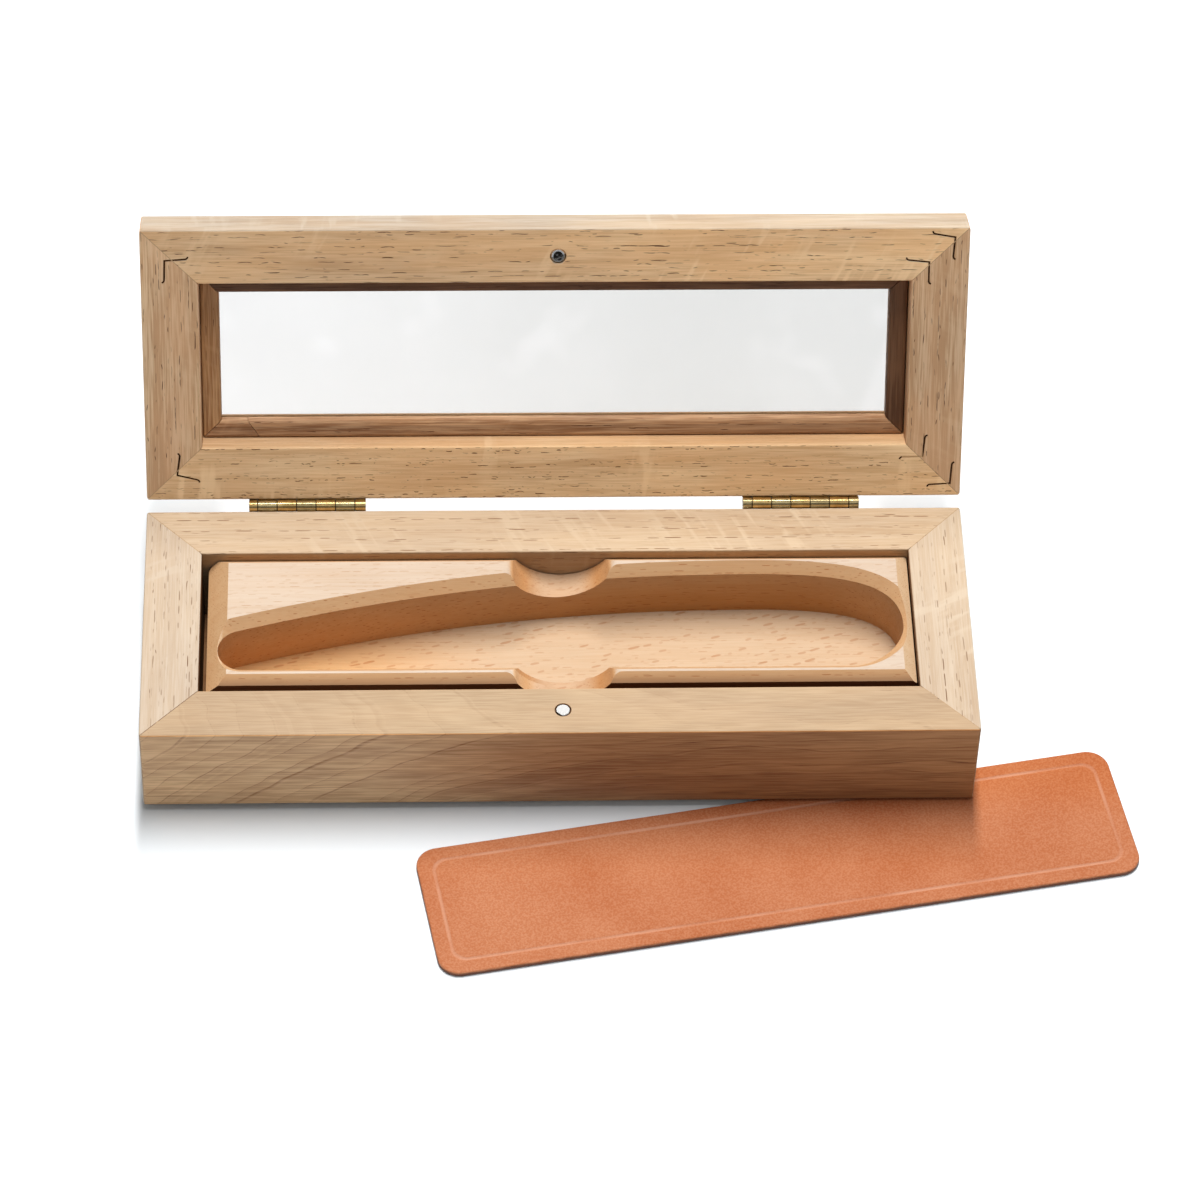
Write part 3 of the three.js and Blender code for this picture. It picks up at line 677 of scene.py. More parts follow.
class WoodSurface(Surface):
    """The material of one piece of wood: figure, flecks and pores, then tints for parts of it, mostly
    painted light and shade.

    The lengths say where on the box at rest a tint starts and ends, and the noise scales are in
    turns for each metre.
    """

    mean_share = 0.3
    paler = 0.1
    line_noise = (18, 90, 90)
    hair_noise = (420, 900, 900)
    heart_noise = (20, 60, 90)
    level_height = 0.98
    fleck_upright = 0.5
    relief_strength = 0.7
    streak_relief = 0.1
    rough_range = 0.14
    specular = 0.35
    # How far to each side the rightward painted light grows.
    painted_light_reach = 60 * MM
    front_top_depth = 3.0 * MM
    heart_drift = 60 * MM
    # Where the pocket's painted shade on the narrow floor and on the far walls starts and ends.
    narrow_end = (-70 * MM, -10 * MM)
    far_start = (-60 * MM, 30 * MM)
    far_end = (64 * MM, 84 * MM)
    # Where the painted shade in the gap round the insert, and the painted light on its slope, reach.
    gap_reach = (-0.3 * MM, 1.8 * MM)
    gap_depth = 8 * MM
    gap_fade = (-1.0 * MM, 0.6 * MM)
    slope_reach = 4 * MM
    # Depth of the notches, and where their painted shade fades out near the top.
    notch_depth = 9.0 * MM
    notch_fade = (1.6 * MM, 0.2 * MM)
    # Height above which the lid's top edge takes its painted light.
    outer_edge_height = 88 * MM
    # How quickly the beads' painted highlight fades out.
    lip_fade = 0.3 * MM

    def __init__(self, piece: WoodPiece, groups: GrainGroups) -> None:
        """Starts the material, with coordinates along the grain and the steepness of each face.

        Args:
            piece: the node, its grain and its finish.
            groups: the shader groups that the woods share.
        """
        super().__init__(f"wood_{piece.node}")
        self.piece = piece
        self.finish = piece.finish
        self.groups = groups
        self.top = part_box(piece.node)[1].z
        location, turn = piece.place.mapping(piece.seed)
        self.grain = self.value("Mapping", vector_type="POINT", Vector=self.place,
                                Location=location, Rotation=turn)
        self.x, self.y, self.z = self.split(self.place)
        self.sideways, self.rearward, self.upward = self.split(self.normal)
        self.steep = self.steepness(self.finish.upright)
        self.colour: Value | Colour = self.finish.pale

    def build(self) -> bpy.types.Material:
        """Works out the colour and the relief, step by step.

        Returns:
            The finished material.
        """
        piece, finish = self.piece, self.finish
        early, streak = self.figure()
        if finish.flecks:
            self.ray_flecks()
        pore = self.open_pores(early)
        # Painted light and shade by facing: steep faces take the wood's side factor.
        self.tint(self.steep, finish.side)
        # Painted light, growing toward the right.
        if finish.painted_light_rightward != PLAIN:
            self.tint(self.x.ramp(-self.painted_light_reach, self.painted_light_reach), finish.painted_light_rightward)
        # Painted shade on forward faces, with a painted highlight at their top.
        if finish.front != PLAIN:
            self.front_faces()
        if piece.heart:
            self.heartwood()
        # Painted shade in the pocket.
        if piece.fade_up:
            self.pocket()
        # Painted shade round the insert, and painted light on its right-end slope.
        if piece.by_insert:
            self.round_insert()
        # Painted shade in the finger notches.
        if piece.notch:
            self.finger_notch()
        # Painted highlight along the top edge of the upright faces.
        if piece.crown_highlight:
            near = self.z.ramp(self.top - piece.crown_highlight, self.top - piece.crown_highlight * 0.5)
            self.tint(near * self.steep.ramp(0.1, 0.5), TINTS.crown_highlight)
        # Painted light on the lid's top edge.
        if piece.painted_light_top_edge:
            outer = self.z.above(self.outer_edge_height)
            self.tint(self.upward.ramp(0.5, 0.8) * outer, TINTS.edge)
        # Painted highlight on the strip next to the glass.
        if piece.lip:
            edge = closed_points(piece.node, True)[:, 1].min() + piece.lip
            across = self.split(self.grain)[1]
            self.tint(across.ramp(edge, edge + self.lip_fade, 1.0, 0.0), TINTS.lip)
        relief = self.bump(self.relief_strength, finish.relief, streak * self.streak_relief - pore)
        rough = streak.ramp(0.0, 1.0, finish.roughness, finish.roughness + self.rough_range)
        return self.done(Base_Color=self.colour, Roughness=rough, Specular_IOR_Level=self.specular,
                         Normal=relief)

    def tint(self, share: Value, factor: object) -> None:
        """Multiplies the colour by a factor, by the share that is given."""
        self.colour = self.blend(share, self.colour, factor, "MULTIPLY")

    def steepness(self, upright: float) -> Value:
        """0 on a level face, and 1 on one whose normal is no higher than the height for upright."""
        return abs(self.upward).ramp(upright, self.level_height, 1.0, 0.0)

    def dashes(self, vector: Value, sizes: Dashes) -> Value:
        """A mask of short dashes of the given sizes, along the grain of the given coordinates."""
        made = self.group(self.groups.dashes, Vector=vector, Length=sizes.length, Cell=sizes.cell,
                          Width=sizes.width, Share=sizes.share, Bend=sizes.bend,
                          Bend_Length=sizes.bend_length)
        return made["Mask"]

    def figure(self) -> tuple[Value, Value]:
        """Gives the colour of the rings, streaks, clouds and rays.

        The share of dark wood is the weighted sum of the rings, streaks and clouds, less a little.
        Where the top is calm, that share stays closer to its mean there.

        Returns:
            The rings' early wood, and the fibres' streaks.
        """
        piece, finish, grain = self.piece, self.finish, self.grain
        rings = self.group(self.groups.rings, Vector=grain, Pith_Y=piece.pith[0], Pith_Z=piece.pith[1],
                           Spacing=finish.spacing, Crest_X=piece.crest[0] + piece.seed,
                           Crest_Curve=piece.crest[1], Wander=finish.wander,
                           Unevenness=finish.unevenness, Early_Width=finish.early_width)
        fibres = self.group(self.groups.fibres, Vector=grain, Coarse=finish.coarse)
        rays = self.group(self.groups.rays, Vector=grain, Lean=finish.ray_lean, Amount=finish.ray_amount)
        calm = 1.0 - (1.0 - self.steep) * piece.calm_top
        early = rings["Early"] * calm
        missing = self.noise(grain, self.line_noise, 1.0).ramp(0.42, 0.62, 0.0, finish.line_gaps)
        share = early * (1.0 - missing) * finish.early_share
        for value, weight in ((rings["Late"], finish.late_share), (fibres["Streak"], finish.streak_share),
                              (fibres["Cloud"], finish.cloud_share), (rings["Tone"], finish.tone_share)):
            share = share + value * weight
        share = share - self.paler
        if piece.calm_top:
            share = (share - self.mean_share) * calm + self.mean_share
        colour = self.blend(share, finish.pale, finish.dark)
        warmer = self.blend(0.5, colour, finish.warm)
        self.colour = self.blend(fibres["Warmth"] * finish.warm_share, colour, warmer)
        self.tint(fibres["Cloud"] * finish.cool_share, TINTS.cool)
        self.colour = self.blend(rays["Mask"], self.colour, finish.pale)
        return early, fibres["Streak"]

    def ray_flecks(self) -> None:
        """Adds short flecks that lean a little and fade toward the top of the piece."""
        finish = self.finish
        leant = self.value("Mapping", vector_type="POINT", Vector=self.grain,
                           Rotation=Euler((0.0, 0.0, finish.fleck_lean)))
        level = self.math("SUBTRACT", 1.15, self.steepness(self.fleck_upright), clamp=True)
        fade = self.z.ramp(*self.piece.fade_up, 1.0, 0.2) * level
        share = self.dashes(leant, finish.flecks) * finish.fleck_strength * fade
        self.colour = self.blend(share, self.colour, finish.fleck)

    def open_pores(self, early: Value) -> Value:
        """Adds pores in the early wood, and long thin ones that wander along the grain.

        A wood whose early wood is wider than a ring has its pores everywhere. On the lid's walls
        the pores are fewer, and the wood there takes a tint of painted shade.

        Args:
            early: the rings' early wood.

        Returns:
            A mask of the pores.
        """
        finish = self.finish
        pore = self.dashes(self.grain, finish.pores)
        if finish.early_width <= 1:
            pore = pore * early
        if finish.hair_share:
            hairs = self.dashes(self.grain, replace(HAIRS, share=finish.hair_share))
            broken = self.noise(self.grain, self.hair_noise, 1.0).ramp(0.36, 0.5, 0.25, 1.0)
            pore = pore.larger(hairs * broken)
        if finish.wall_pores < 1:
            flat = abs(self.reach(self.normal, lid_turn()[1].inverted() @ UPWARD))
            wall = flat.ramp(0.5, 0.8, 1.0, 0.0)
            pore = pore * wall.ramp(0.0, 1.0, 1.0, finish.wall_pores)
            # Painted shade on the lid's walls.
            self.tint(wall, finish.wall)
        most = finish.pore_strength + finish.steep_pores
        strength = self.steep.ramp(0.2, 0.8, finish.pore_strength, most)
        self.colour = self.blend(pore * strength, self.colour, finish.pore)
        return pore

    def front_faces(self) -> None:
        """Paints shade on the faces that look forwards near the piece's front, and a highlight at their
        top.
        """
        forward = self.rearward.ramp(-0.6, -0.3, 1.0, 0.0)
        outer = self.y.below(self.finish.front_until)
        high = self.z.ramp(self.top - self.front_top_depth, self.top)
        self.tint(forward * outer, self.blend(high, self.finish.front, self.finish.front_top))

    def heartwood(self) -> None:
        """Tints the upright faces toward one end, where browner wood comes in unevenly."""
        drift = (self.noise(self.place, self.heart_noise) - 0.5) * self.heart_drift
        self.tint((self.x + drift).ramp(*self.piece.heart) * self.steep, TINTS.heart)

    def pocket(self) -> None:
        """Paints shade into the pocket: toward its bottom, on its floor at the narrow end and on its walls
        at the wide one.
        """
        low = self.z.ramp(*self.piece.fade_up, 1.0, 0.0)
        # Painted shade: darker and warmer toward the pocket's floor.
        self.tint(low, TINTS.deep)
        self.tint(low * (1.0 - self.steep) * self.x.ramp(*self.narrow_end, 1.0, 0.0), TINTS.narrow)
        far = self.x.ramp(*self.far_start) * self.x.ramp(*self.far_end, 1.0, 0.3)
        self.tint(low * self.steep * far, TINTS.far)

    def round_insert(self) -> None:
        """Paints shade into the narrow gap round the insert, and paints light on the slope at the insert's
        right end.

        The largest of the distances past the insert's left, right and front faces is about 0 on
        those faces and a little more on the rails beside them.
        """
        low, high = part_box("insert")
        past = (low.y - self.y).larger(low.x - self.x).larger(self.x - high.x)
        upright = abs(self.upward).ramp(0.25, 0.45, 1.0, 0.0)
        upright = upright.larger(self.z.below(high.z - self.gap_depth))
        inside = past.above(self.gap_reach[0]) * past.below(self.gap_reach[1])
        deep = self.z.ramp(high.z + self.gap_fade[0], high.z + self.gap_fade[1], 1.0, 0.3)
        # Painted shade deep in the gap.
        self.tint(inside * upright * deep, TINTS.gap)
        slope = past.above(-self.slope_reach) * self.sideways.ramp(0.25, 0.6)
        # Painted light on the slope.
        self.tint(slope * (1.0 - upright), TINTS.painted_slope_light)

    def finger_notch(self) -> None:
        """Paints shade, darker and warmer, into the finger notches, whose faces run straight from front to
        rear.
        """
        centre, reach = self.piece.notch
        through = abs(self.rearward).ramp(0.15, 0.4, 1.0, 0.0)
        within = abs(self.x - centre).below(reach) * self.z.above(self.top - self.notch_depth)
        start, end = self.notch_fade
        below = self.z.ramp(self.top - start, self.top - end, 1.0, 0.0)
        self.tint(through * within * below, TINTS.notch_shade)


class WoodWork:
    """Dresses the wooden nodes: their woods and eased edges."""

    edge_width: float = 0.16 * MM

    def __init__(self) -> None:
        """Builds the groups that all the woods share."""
        self.groups = GrainGroups()

    def dress(self, piece: WoodPiece) -> None:
        """Gives one wooden node its material and its eased edges.

        Args:
            piece: the node, its grain and its finish.
        """
        node = frame["nodes"][piece.node]
        node.data.materials.clear()
        node.data.materials.append(WoodSurface(piece, self.groups).build())
        ease_edges(node, self.edge_width)
        LOG.info("wood: %s", piece.node)


WELD_REACH = 1e-6
FLAT_ANGLE = math.radians(0.3)
EDGE_ANGLE = math.radians(32)
SPLIT_ANGLE = math.radians(28)


def ease_edges(node: bpy.types.Object, width: float) -> None:
    """Joins a node's loose triangles into flat faces and rounds its sharp edges a little.

    Args:
        node: the CAD node's object, whose own mesh stays as it is.
        width: how far the rounding reaches from an edge, in metres.
    """
    weld = node.modifiers.new("weld", "WELD")
    weld.merge_threshold = WELD_REACH
    flat = node.modifiers.new("flat_faces", "DECIMATE")
    flat.decimate_type = "DISSOLVE"
    flat.angle_limit = FLAT_ANGLE
    bevel = node.modifiers.new("eased_edges", "BEVEL")
    bevel.width = width
    bevel.segments = 2
    bevel.limit_method = "ANGLE"
    bevel.angle_limit = EDGE_ANGLE
    bevel.use_clamp_overlap = True
    bevel.harden_normals = False
    split = node.modifiers.new("split", "EDGE_SPLIT")
    split.split_angle = SPLIT_ANGLE
    steady = node.modifiers.new("steady_normals", "WEIGHTED_NORMAL")
    steady.mode = "FACE_AREA"
    node.data.polygons.foreach_set("use_smooth", np.ones(len(node.data.polygons), dtype=bool))


def add_object(name: str, data: bpy.types.ID) -> bpy.types.Object:
    """Adds an object with the given data to the scene and returns it."""
    made = bpy.data.objects.new(name, data)
    bpy.context.scene.collection.objects.link(made)
    return made


def add_mesh(name: str, points: np.ndarray, quads: np.ndarray,
             material: bpy.types.Material) -> bpy.types.Object:
    """A mesh object with four-sided faces.

    Args:
        name: the object's name.
        points: corners, one row each.
        quads: corner numbers of each face.
        material: what it is made of.

    Returns:
        The new object.
    """
    mesh = bpy.data.meshes.new(name)
    mesh.from_pydata(points.tolist(), [], quads.tolist())
    mesh.validate()
    mesh.materials.append(material)
    return add_object(name, mesh)


@dataclass(frozen=True)
class MitreSeams:
    """Glue and wood dust that fill the mitres of one frame nearly to its faces."""

    body: str
    in_lid: bool
    half_width: float = 0.13 * MM
    height: float = 0.8 * MM
    sunk: float = 0.03 * MM
    short: float = 0.2 * MM
    same_face: float = 0.02 * MM
    dust: Colour = lit(206, 170, 128)
    dark: Colour = lit(112, 76, 46)
    darkest: tuple[float, float, float] = (-96 * MM, -30 * MM, 30 * MM)
    dark_reach: tuple[float, float] = (12 * MM, 40 * MM)
    speck_noise: float = 700.0

    def corners(self, face: float) -> np.ndarray:
        """Outer and inner end of each mitre at the height of one face.

        Args:
            face: the face's height, with the lid closed.

        Returns:
            Four pairs of plan points.
        """
        ends = {}
        for side, axis in (("front", 1), ("back", 1), ("left", 0), ("right", 0)):
            points = closed_points(f"{self.body}_rail_{side}", self.in_lid)
            level = points[np.abs(points[:, 2] - face) < self.same_face][:, axis]
            ends[side] = (level.min(), level.max())
        across = {"front": ends["front"], "back": ends["back"][::-1]}
        along = {"left": ends["left"], "right": ends["right"][::-1]}
        return np.array([[[x, y] for x, y in zip(along[side], across[end])]
                         for end in across for side in along])

    def build(self) -> bpy.types.Object:
        """Makes the seams: a thin upright slab in each mitre under each face.

        Returns:
            The seams' object.
        """
        heights = closed_points(f"{self.body}_rail_front", self.in_lid)[:, 2]
        points = []
        for face, inward in ((heights.max(), -1.0), (heights.min(), 1.0)):
            ends = self.corners(face)
            ahead = ends[:, 1] - ends[:, 0]
            ahead /= np.linalg.norm(ahead, axis=1, keepdims=True)
            ends = ends + ahead[:, None] * np.array([1.0, -1.0])[:, None] * self.short
            beside = np.stack([-ahead[:, 1], ahead[:, 0]], axis=1)[:, None] * self.half_width
            plan = np.stack([ends - beside, ends + beside], axis=2).reshape(-1, 4, 2)
            for depth in (self.sunk, self.sunk + self.height):
                level = np.full(plan.shape[:2] + (1,), face + inward * depth)
                points.append(np.concatenate([plan, level], axis=2))
        top, deep = np.concatenate(points[0::2]), np.concatenate(points[1::2])
        block = np.concatenate([top, deep], axis=1).reshape(-1, 3)
        if self.in_lid:
            axis, swing = lid_turn()
            block = (block - np.array(axis)) @ np.array(swing) + np.array(axis)
        sides = np.array([[0, 1, 3, 2], [4, 6, 7, 5], [0, 4, 5, 1],
                          [1, 5, 7, 3], [3, 7, 6, 2], [2, 6, 4, 0]])
        quads = (np.arange(len(top))[:, None, None] * 8 + sides).reshape(-1, 4)
        seams = add_mesh(f"{self.body}_seams", block, quads, self.material())
        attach(seams, self.body)
        LOG.info("seams: %s", seams.name)
        return seams

    def material(self) -> bpy.types.Material:
        """The material: dull glue and dust in specks, darkest round the front left corner.

        Returns:
            The new material.
        """
        surface = Surface(f"{self.body}_seams")
        away = surface.value("VectorMath", surface.place, self.darkest, operation="DISTANCE",
                             output="Value")
        limit = away.ramp(*self.dark_reach, 0.3, 0.62)
        specks = (surface.noise(surface.place, self.speck_noise) - limit).ramp(0.0, 0.08)
        return surface.done(Base_Color=surface.blend(specks, self.dust, self.dark), Roughness=0.8)


@dataclass(frozen=True)
class KnuckleGapShade:
    """Rings of painted shade, dark with paler specks, in the narrow gaps between the hinges' knuckles."""

    starts: tuple[float, ...]
    count: int = 6
    pitch: float = 5.0 * MM
    half_width: float = 0.04 * MM
    inner: float = 0.82 * MM
    outer: float = 1.46 * MM
    steps: int = 48
    # The painted shade's dark colour, and the colour of its paler specks.
    gap_shade_colour: Colour = rgb(46, 30, 14)
    dust: Colour = rgb(82, 60, 34)
    speck_noise: float = 2400.0

    def build(self) -> bpy.types.Object:
        """Makes the rings: a small rectangle turned round the hinge line, once in each gap.

        Returns:
            The rings' object.
        """
        axis, _ = lid_turn()
        turn = np.linspace(0, 2 * math.pi, self.steps, endpoint=False)
        radius = np.array([self.inner, self.outer, self.outer, self.inner])
        offset = np.array([-1, -1, 1, 1]) * self.half_width
        gaps = (np.array(self.starts)[:, None] + np.arange(self.count) * self.pitch).ravel()
        shape = (gaps.size, self.steps, 4)
        x = np.broadcast_to(gaps[:, None, None] + offset, shape)
        y = np.broadcast_to(axis.y + np.cos(turn)[:, None] * radius, shape)
        z = np.broadcast_to(axis.z + np.sin(turn)[:, None] * radius, shape)
        points = np.stack([x, y, z], axis=-1).reshape(-1, 3)
        index = np.arange(points.shape[0]).reshape(shape)
        ahead = np.roll(index, -1, axis=1)
        beside, both = np.roll(index, -1, axis=2), np.roll(ahead, -1, axis=2)
        quads = np.stack([index, beside, both, ahead], axis=-1).reshape(-1, 4)
        rings = add_mesh("knuckle_gap_shade_rings", points, quads, self.material())
        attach(rings, "base")
        LOG.info("rings: %s", rings.name)
        return rings

    def material(self) -> bpy.types.Material:
        """The material: matt painted shade with paler specks.

        Returns:
            The new material.
        """
        surface = Surface("knuckle_gap_shade")
        specks = surface.noise(surface.place, self.speck_noise).ramp(0.45, 0.65)
        return surface.done(Base_Color=surface.blend(specks, self.gap_shade_colour, self.dust), Roughness=0.85)


@dataclass(frozen=True)
class MetalFinish:
    """Colours and polish of one metal.

    A hinge also has the place of its first knuckle's end, the angle of its ridge, and its knuckles'
    pitch and radius. A metal that is hidden in part has the stretch along X that dust covers.
    """

    name: str
    colour: Colour
    worn: Colour
    roughness: float
    rough_range: float = 0.14
    patch_noise: float = 320.0
    brushing: tuple[float, float, float] = (260, 5200, 5200)
    brush_depth: float = 0.01 * MM
    scratches: float = 0.04
    # Painted shade on the knuckles' end faces and beside their gaps: how strong it is, and its colour.
    gap_shade_strength: float = 0.0
    gap_shade_colour: Colour = rgb(44, 28, 12)
    first_edge: float = 0.0
    ridge: float = 0.0
    ridge_angle: float = 0.14
    ridge_height: float = 0.16 * MM
    gap_shade_reach: tuple[float, float] = (0.06 * MM, 0.22 * MM)
    pitch: float = 5.0 * MM
    barrel: float = 1.62 * MM
    hidden: tuple[float, float] | None = None
    dust: Colour = rgb(196, 156, 110)

    def material(self) -> bpy.types.Material:
        """The material: a metal with fine brushing and slight tarnish in patches.

        On a hinge, painted shade darkens the knuckles' end faces and the barrel beside their gaps, and the
        end of the rolled sheet stands out as a fine ridge at one angle round the pin. A hidden stretch is
        under dust.

        Returns:
            The new material.
        """
        surface = Surface(self.name)
        patches = surface.noise(surface.place, self.patch_noise, 3.0).ramp(0.35, 0.7)
        lines = surface.noise(surface.place, self.brushing)
        colour = surface.blend(patches, self.colour, self.worn)
        # Painted shade on the faces that look along X, the knuckles' ends.
        ends = abs(surface.split(surface.normal)[0]).ramp(0.2, 0.6, 0.0, self.gap_shade_strength)
        colour = surface.blend(ends, colour, self.gap_shade_colour)
        rough = lines.ramp(0.3, 0.7, self.roughness, self.roughness + self.rough_range)
        relief = surface.bump(self.scratches, self.brush_depth, lines)
        x, y, z = surface.split(surface.place)
        if self.first_edge:
            axis, _ = lid_turn()
            back = y - axis.y
            up = z - axis.z
            rolled = (back * back + up * up).root().below(self.barrel)
            # Painted shade on the barrel beside each gap between knuckles.
            near = surface.math("PINGPONG", x - self.first_edge, self.pitch / 2)
            near = near.ramp(*self.gap_shade_reach, self.gap_shade_strength, 0.0)
            colour = surface.blend(near * rolled, colour, self.gap_shade_colour)
            if self.ridge:
                angle = surface.math("ARCTAN2", up, back * -1.0)
                rise = abs(angle - self.ridge).ramp(0.0, self.ridge_angle, 1.0, 0.0) * rolled
                relief = surface.bump(1.0, self.ridge_height, rise)
        bare: object = 1.0
        if self.hidden:
            covered = x.above(self.hidden[0]) * x.below(self.hidden[1])
            colour = surface.blend(covered, colour, self.dust)
            bare = 1.0 - covered
        return surface.done(Base_Color=colour, Metallic=bare, Roughness=rough, Normal=relief)


@dataclass(frozen=True)
class MagnetFinish:
    """A nickel disc with a painted dark reflection on its face, painted shade on one side and a painted
    highlight on the rim at another.

    The crescent of painted shade, the dark reflection's rim and the highlight arc's reach and rim
    start and end at shares of the radius.
    """

    name: str
    bright: Colour
    dark: Colour
    dark_reflection: float = 0.0
    shade: tuple[float, float, float] = (0.0, 0.0, 0.0)
    gleam: tuple[float, float, float] = (0.0, 0.0, 0.0)
    roughness: float = 0.25
    radius: float = 1.75 * MM
    crescent: tuple[float, float] = (0.45, 0.62)
    dark_reflection_rim: tuple[float, float] = (0.62, 0.78)
    arc_reach: tuple[float, float] = (0.3, 0.5)
    arc_rim: tuple[float, float] = (0.66, 0.76)
    white: Colour = PLAIN
    scratch_noise: tuple[float, float, float] = (900, 2600, 900)

    def material(self, centre: Vector, axis: Vector) -> bpy.types.Material:
        """The material of one disc.

        Args:
            centre: the disc's centre at rest.
            axis: its axis at rest.

        Returns:
            The new material.
        """
        surface = Surface(self.name)
        offset = surface.value("VectorMath", surface.place, centre, operation="SUBTRACT")
        crossed = surface.value("VectorMath", offset, axis, operation="CROSS_PRODUCT")
        away = surface.value("VectorMath", crossed, operation="LENGTH", output="Value")
        crescent, dark_reflection_rim, arc_reach, arc_rim = (
            [self.radius * share for share in shares]
            for shares in (self.crescent, self.dark_reflection_rim, self.arc_reach, self.arc_rim))
        scratches = surface.noise(surface.place, self.scratch_noise).ramp(0.55, 0.62, 1.0, 0.25)
        # Painted dark reflection on the face inside its rim, lightened by scratches.
        inside = away.ramp(*dark_reflection_rim, self.dark_reflection, 0.0)
        # Painted shade in a crescent on one side.
        shaded = surface.reach(offset, self.shade).ramp(*crescent)
        colour = surface.blend((inside * scratches).larger(shaded), self.bright, self.dark)
        # Painted highlight: a white arc along the rim on one side.
        arc = surface.reach(offset, self.gleam).ramp(*arc_reach) * away.ramp(*arc_rim)
        return surface.done(Base_Color=surface.blend(arc, colour, self.white), Metallic=1.0,
                            Roughness=self.roughness)


@dataclass(frozen=True)
class FeltFinish:
    """Dark wool felt."""

    colour: Colour = rgb(58, 50, 46)
    light: Colour = rgb(92, 82, 76)
    fuzz_noise: float = 2600.0
    fuzz_height: float = 0.15 * MM

    def material(self) -> bpy.types.Material:
        """The material: short tangled fibres, with no shine.

        Returns:
            The new material.
        """
        surface = Surface("felt")
        fuzz = surface.noise(surface.place, self.fuzz_noise, 4.0)
        colour = surface.blend(fuzz.ramp(0.35, 0.7), self.colour, self.light)
        relief = surface.bump(0.8, self.fuzz_height, fuzz)
        return surface.done(Base_Color=colour, Roughness=0.95, Normal=relief)


@dataclass(frozen=True)
class GlassFinish:
    """Clear float glass with a faint grey cast."""

    clear: Colour = (0.742, 0.722, 0.71, 1.0)
    greyer: Colour = (0.606, 0.59, 0.573, 1.0)
    greying_reach: tuple[float, float] = (-90 * MM, 60 * MM)
    corner_reflection: tuple[float, float] = (62 * MM, 66 * MM)
    corner_reflection_lean: float = 0.35
    smear_noise: float = 22.0
    spot_noise: float = 70.0

    def material(self) -> bpy.types.Material:
        """The material: glass that grows greyer toward one end, with smears, clearer spots and a corner
        cleared by a painted reflection.

        Returns:
            The new material.
        """
        surface = Surface("pane_glass")
        x, _, z = surface.split(surface.place)
        smears = surface.noise(surface.place, self.smear_noise).ramp(0.3, 0.7, -0.1, 0.1)
        spots = surface.noise(surface.place, self.spot_noise, 1.0).ramp(0.58, 0.8, 0.0, -0.3)
        # Painted reflection: one corner of the pane is less grey.
        corner = (x - z * self.corner_reflection_lean).ramp(*self.corner_reflection, 0.0, -0.3)
        along = x.ramp(*self.greying_reach, 0.12, 0.9)
        grey_share = surface.math("ADD", along, smears + (spots + corner), clamp=True)
        return surface.done(Base_Color=surface.blend(grey_share, self.clear, self.greyer), Roughness=0.0, IOR=1.5,
                            Transmission_Weight=1.0)


BRASS = MetalFinish("brass", rgb(216, 186, 128), rgb(190, 156, 98), 0.2, scratches=0.0, gap_shade_strength=0.95)
OLIVE_BRASS = MetalFinish("olive_brass", rgb(204, 184, 136), rgb(180, 158, 112), 0.2, scratches=0.0,
                          gap_shade_strength=0.95, ridge=math.radians(6))
STEEL = MetalFinish("screw_steel", rgb(176, 176, 178), rgb(140, 138, 136), 0.32)
NAIL_STEEL = MetalFinish("nail_steel", rgb(90, 60, 38), rgb(54, 36, 22), 0.5)
# Base magnet: painted shade in a crescent at its lower left.
BASE_MAGNET = MagnetFinish("base_magnet", rgb(212, 212, 210), rgb(92, 82, 70), shade=(-0.64, -0.77, 0.0),
                           roughness=0.4, crescent=(0.8, 0.93))
# Lid magnet: a painted dark reflection on its face and a painted highlight on its upper rim.
LID_MAGNET = MagnetFinish("lid_magnet", rgb(164, 162, 158), rgb(30, 25, 22), dark_reflection=0.95,
                          gleam=(-0.2, 0.0, 1.0))
# Where each hinge's first gap between knuckles is, along X.
FIRST_EDGES = {"left": -76.5 * MM, "right": 51.1 * MM}


@dataclass(frozen=True)
class Fittings:
    """The hinges, screws, nails, magnets, felt pads and pane."""

    dusty_nail: str = "nail_back_right_inner"
    bare_ends: tuple[float, float] = (0.8 * MM, 1.15 * MM)
    leaf_edge: float = 0.07 * MM
    small_edge: float = 0.02 * MM

    def finishes(self) -> dict[str, bpy.types.Material]:
        """Makes the materials, one for each kind of fitting and two for each hinge.

        Returns:
            The material of every fitting, by the start of its nodes' names.
        """
        steel = STEEL.material()
        nail = NAIL_STEEL.material()
        felt = FeltFinish().material()
        centre = {name: sum(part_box(name), Vector()) / 2 for name in ("base_magnet", "lid_magnet")}
        by_start = {
            "base_leaf_screw": steel, "lid_leaf_screw": steel, "nail_": nail,
            "felt_pad": felt, "glass_pane": GlassFinish().material(),
            "base_magnet": BASE_MAGNET.material(centre["base_magnet"], UPWARD),
            "lid_magnet": LID_MAGNET.material(centre["lid_magnet"], lid_turn()[1].inverted() @ UPWARD),
        }
        for side, first in FIRST_EDGES.items():
            brass = replace(BRASS, name=f"brass_{side}", first_edge=first).material()
            olive = replace(OLIVE_BRASS, name=f"olive_brass_{side}", first_edge=first).material()
            by_start[f"hinge_{side}_base"] = olive
            by_start[f"hinge_{side}_lid"] = brass
            by_start[f"hinge_{side}_pin"] = brass
        return by_start

    def dress(self) -> None:
        """Gives every fitting its material, and all but the pane their eased edges."""
        for start, material in self.finishes().items():
            for name, node in frame["nodes"].items():
                if not name.startswith(start):
                    continue
                node.data.materials.clear()
                node.data.materials.append(material)
                if start != "glass_pane":
                    ease_edges(node, self.leaf_edge if name.endswith("leaf") else self.small_edge)
                LOG.info("finish: %s", name)
        low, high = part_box(self.dusty_nail)
        hidden = (low.x + self.bare_ends[0], high.x - self.bare_ends[1])
        dusty = replace(NAIL_STEEL, name="dusty_nail", hidden=hidden).material()
        frame["nodes"][self.dusty_nail].data.materials[0] = dusty
        pane = frame["nodes"]["glass_pane"]
        pane.visible_shadow = False
        pane.visible_diffuse = False


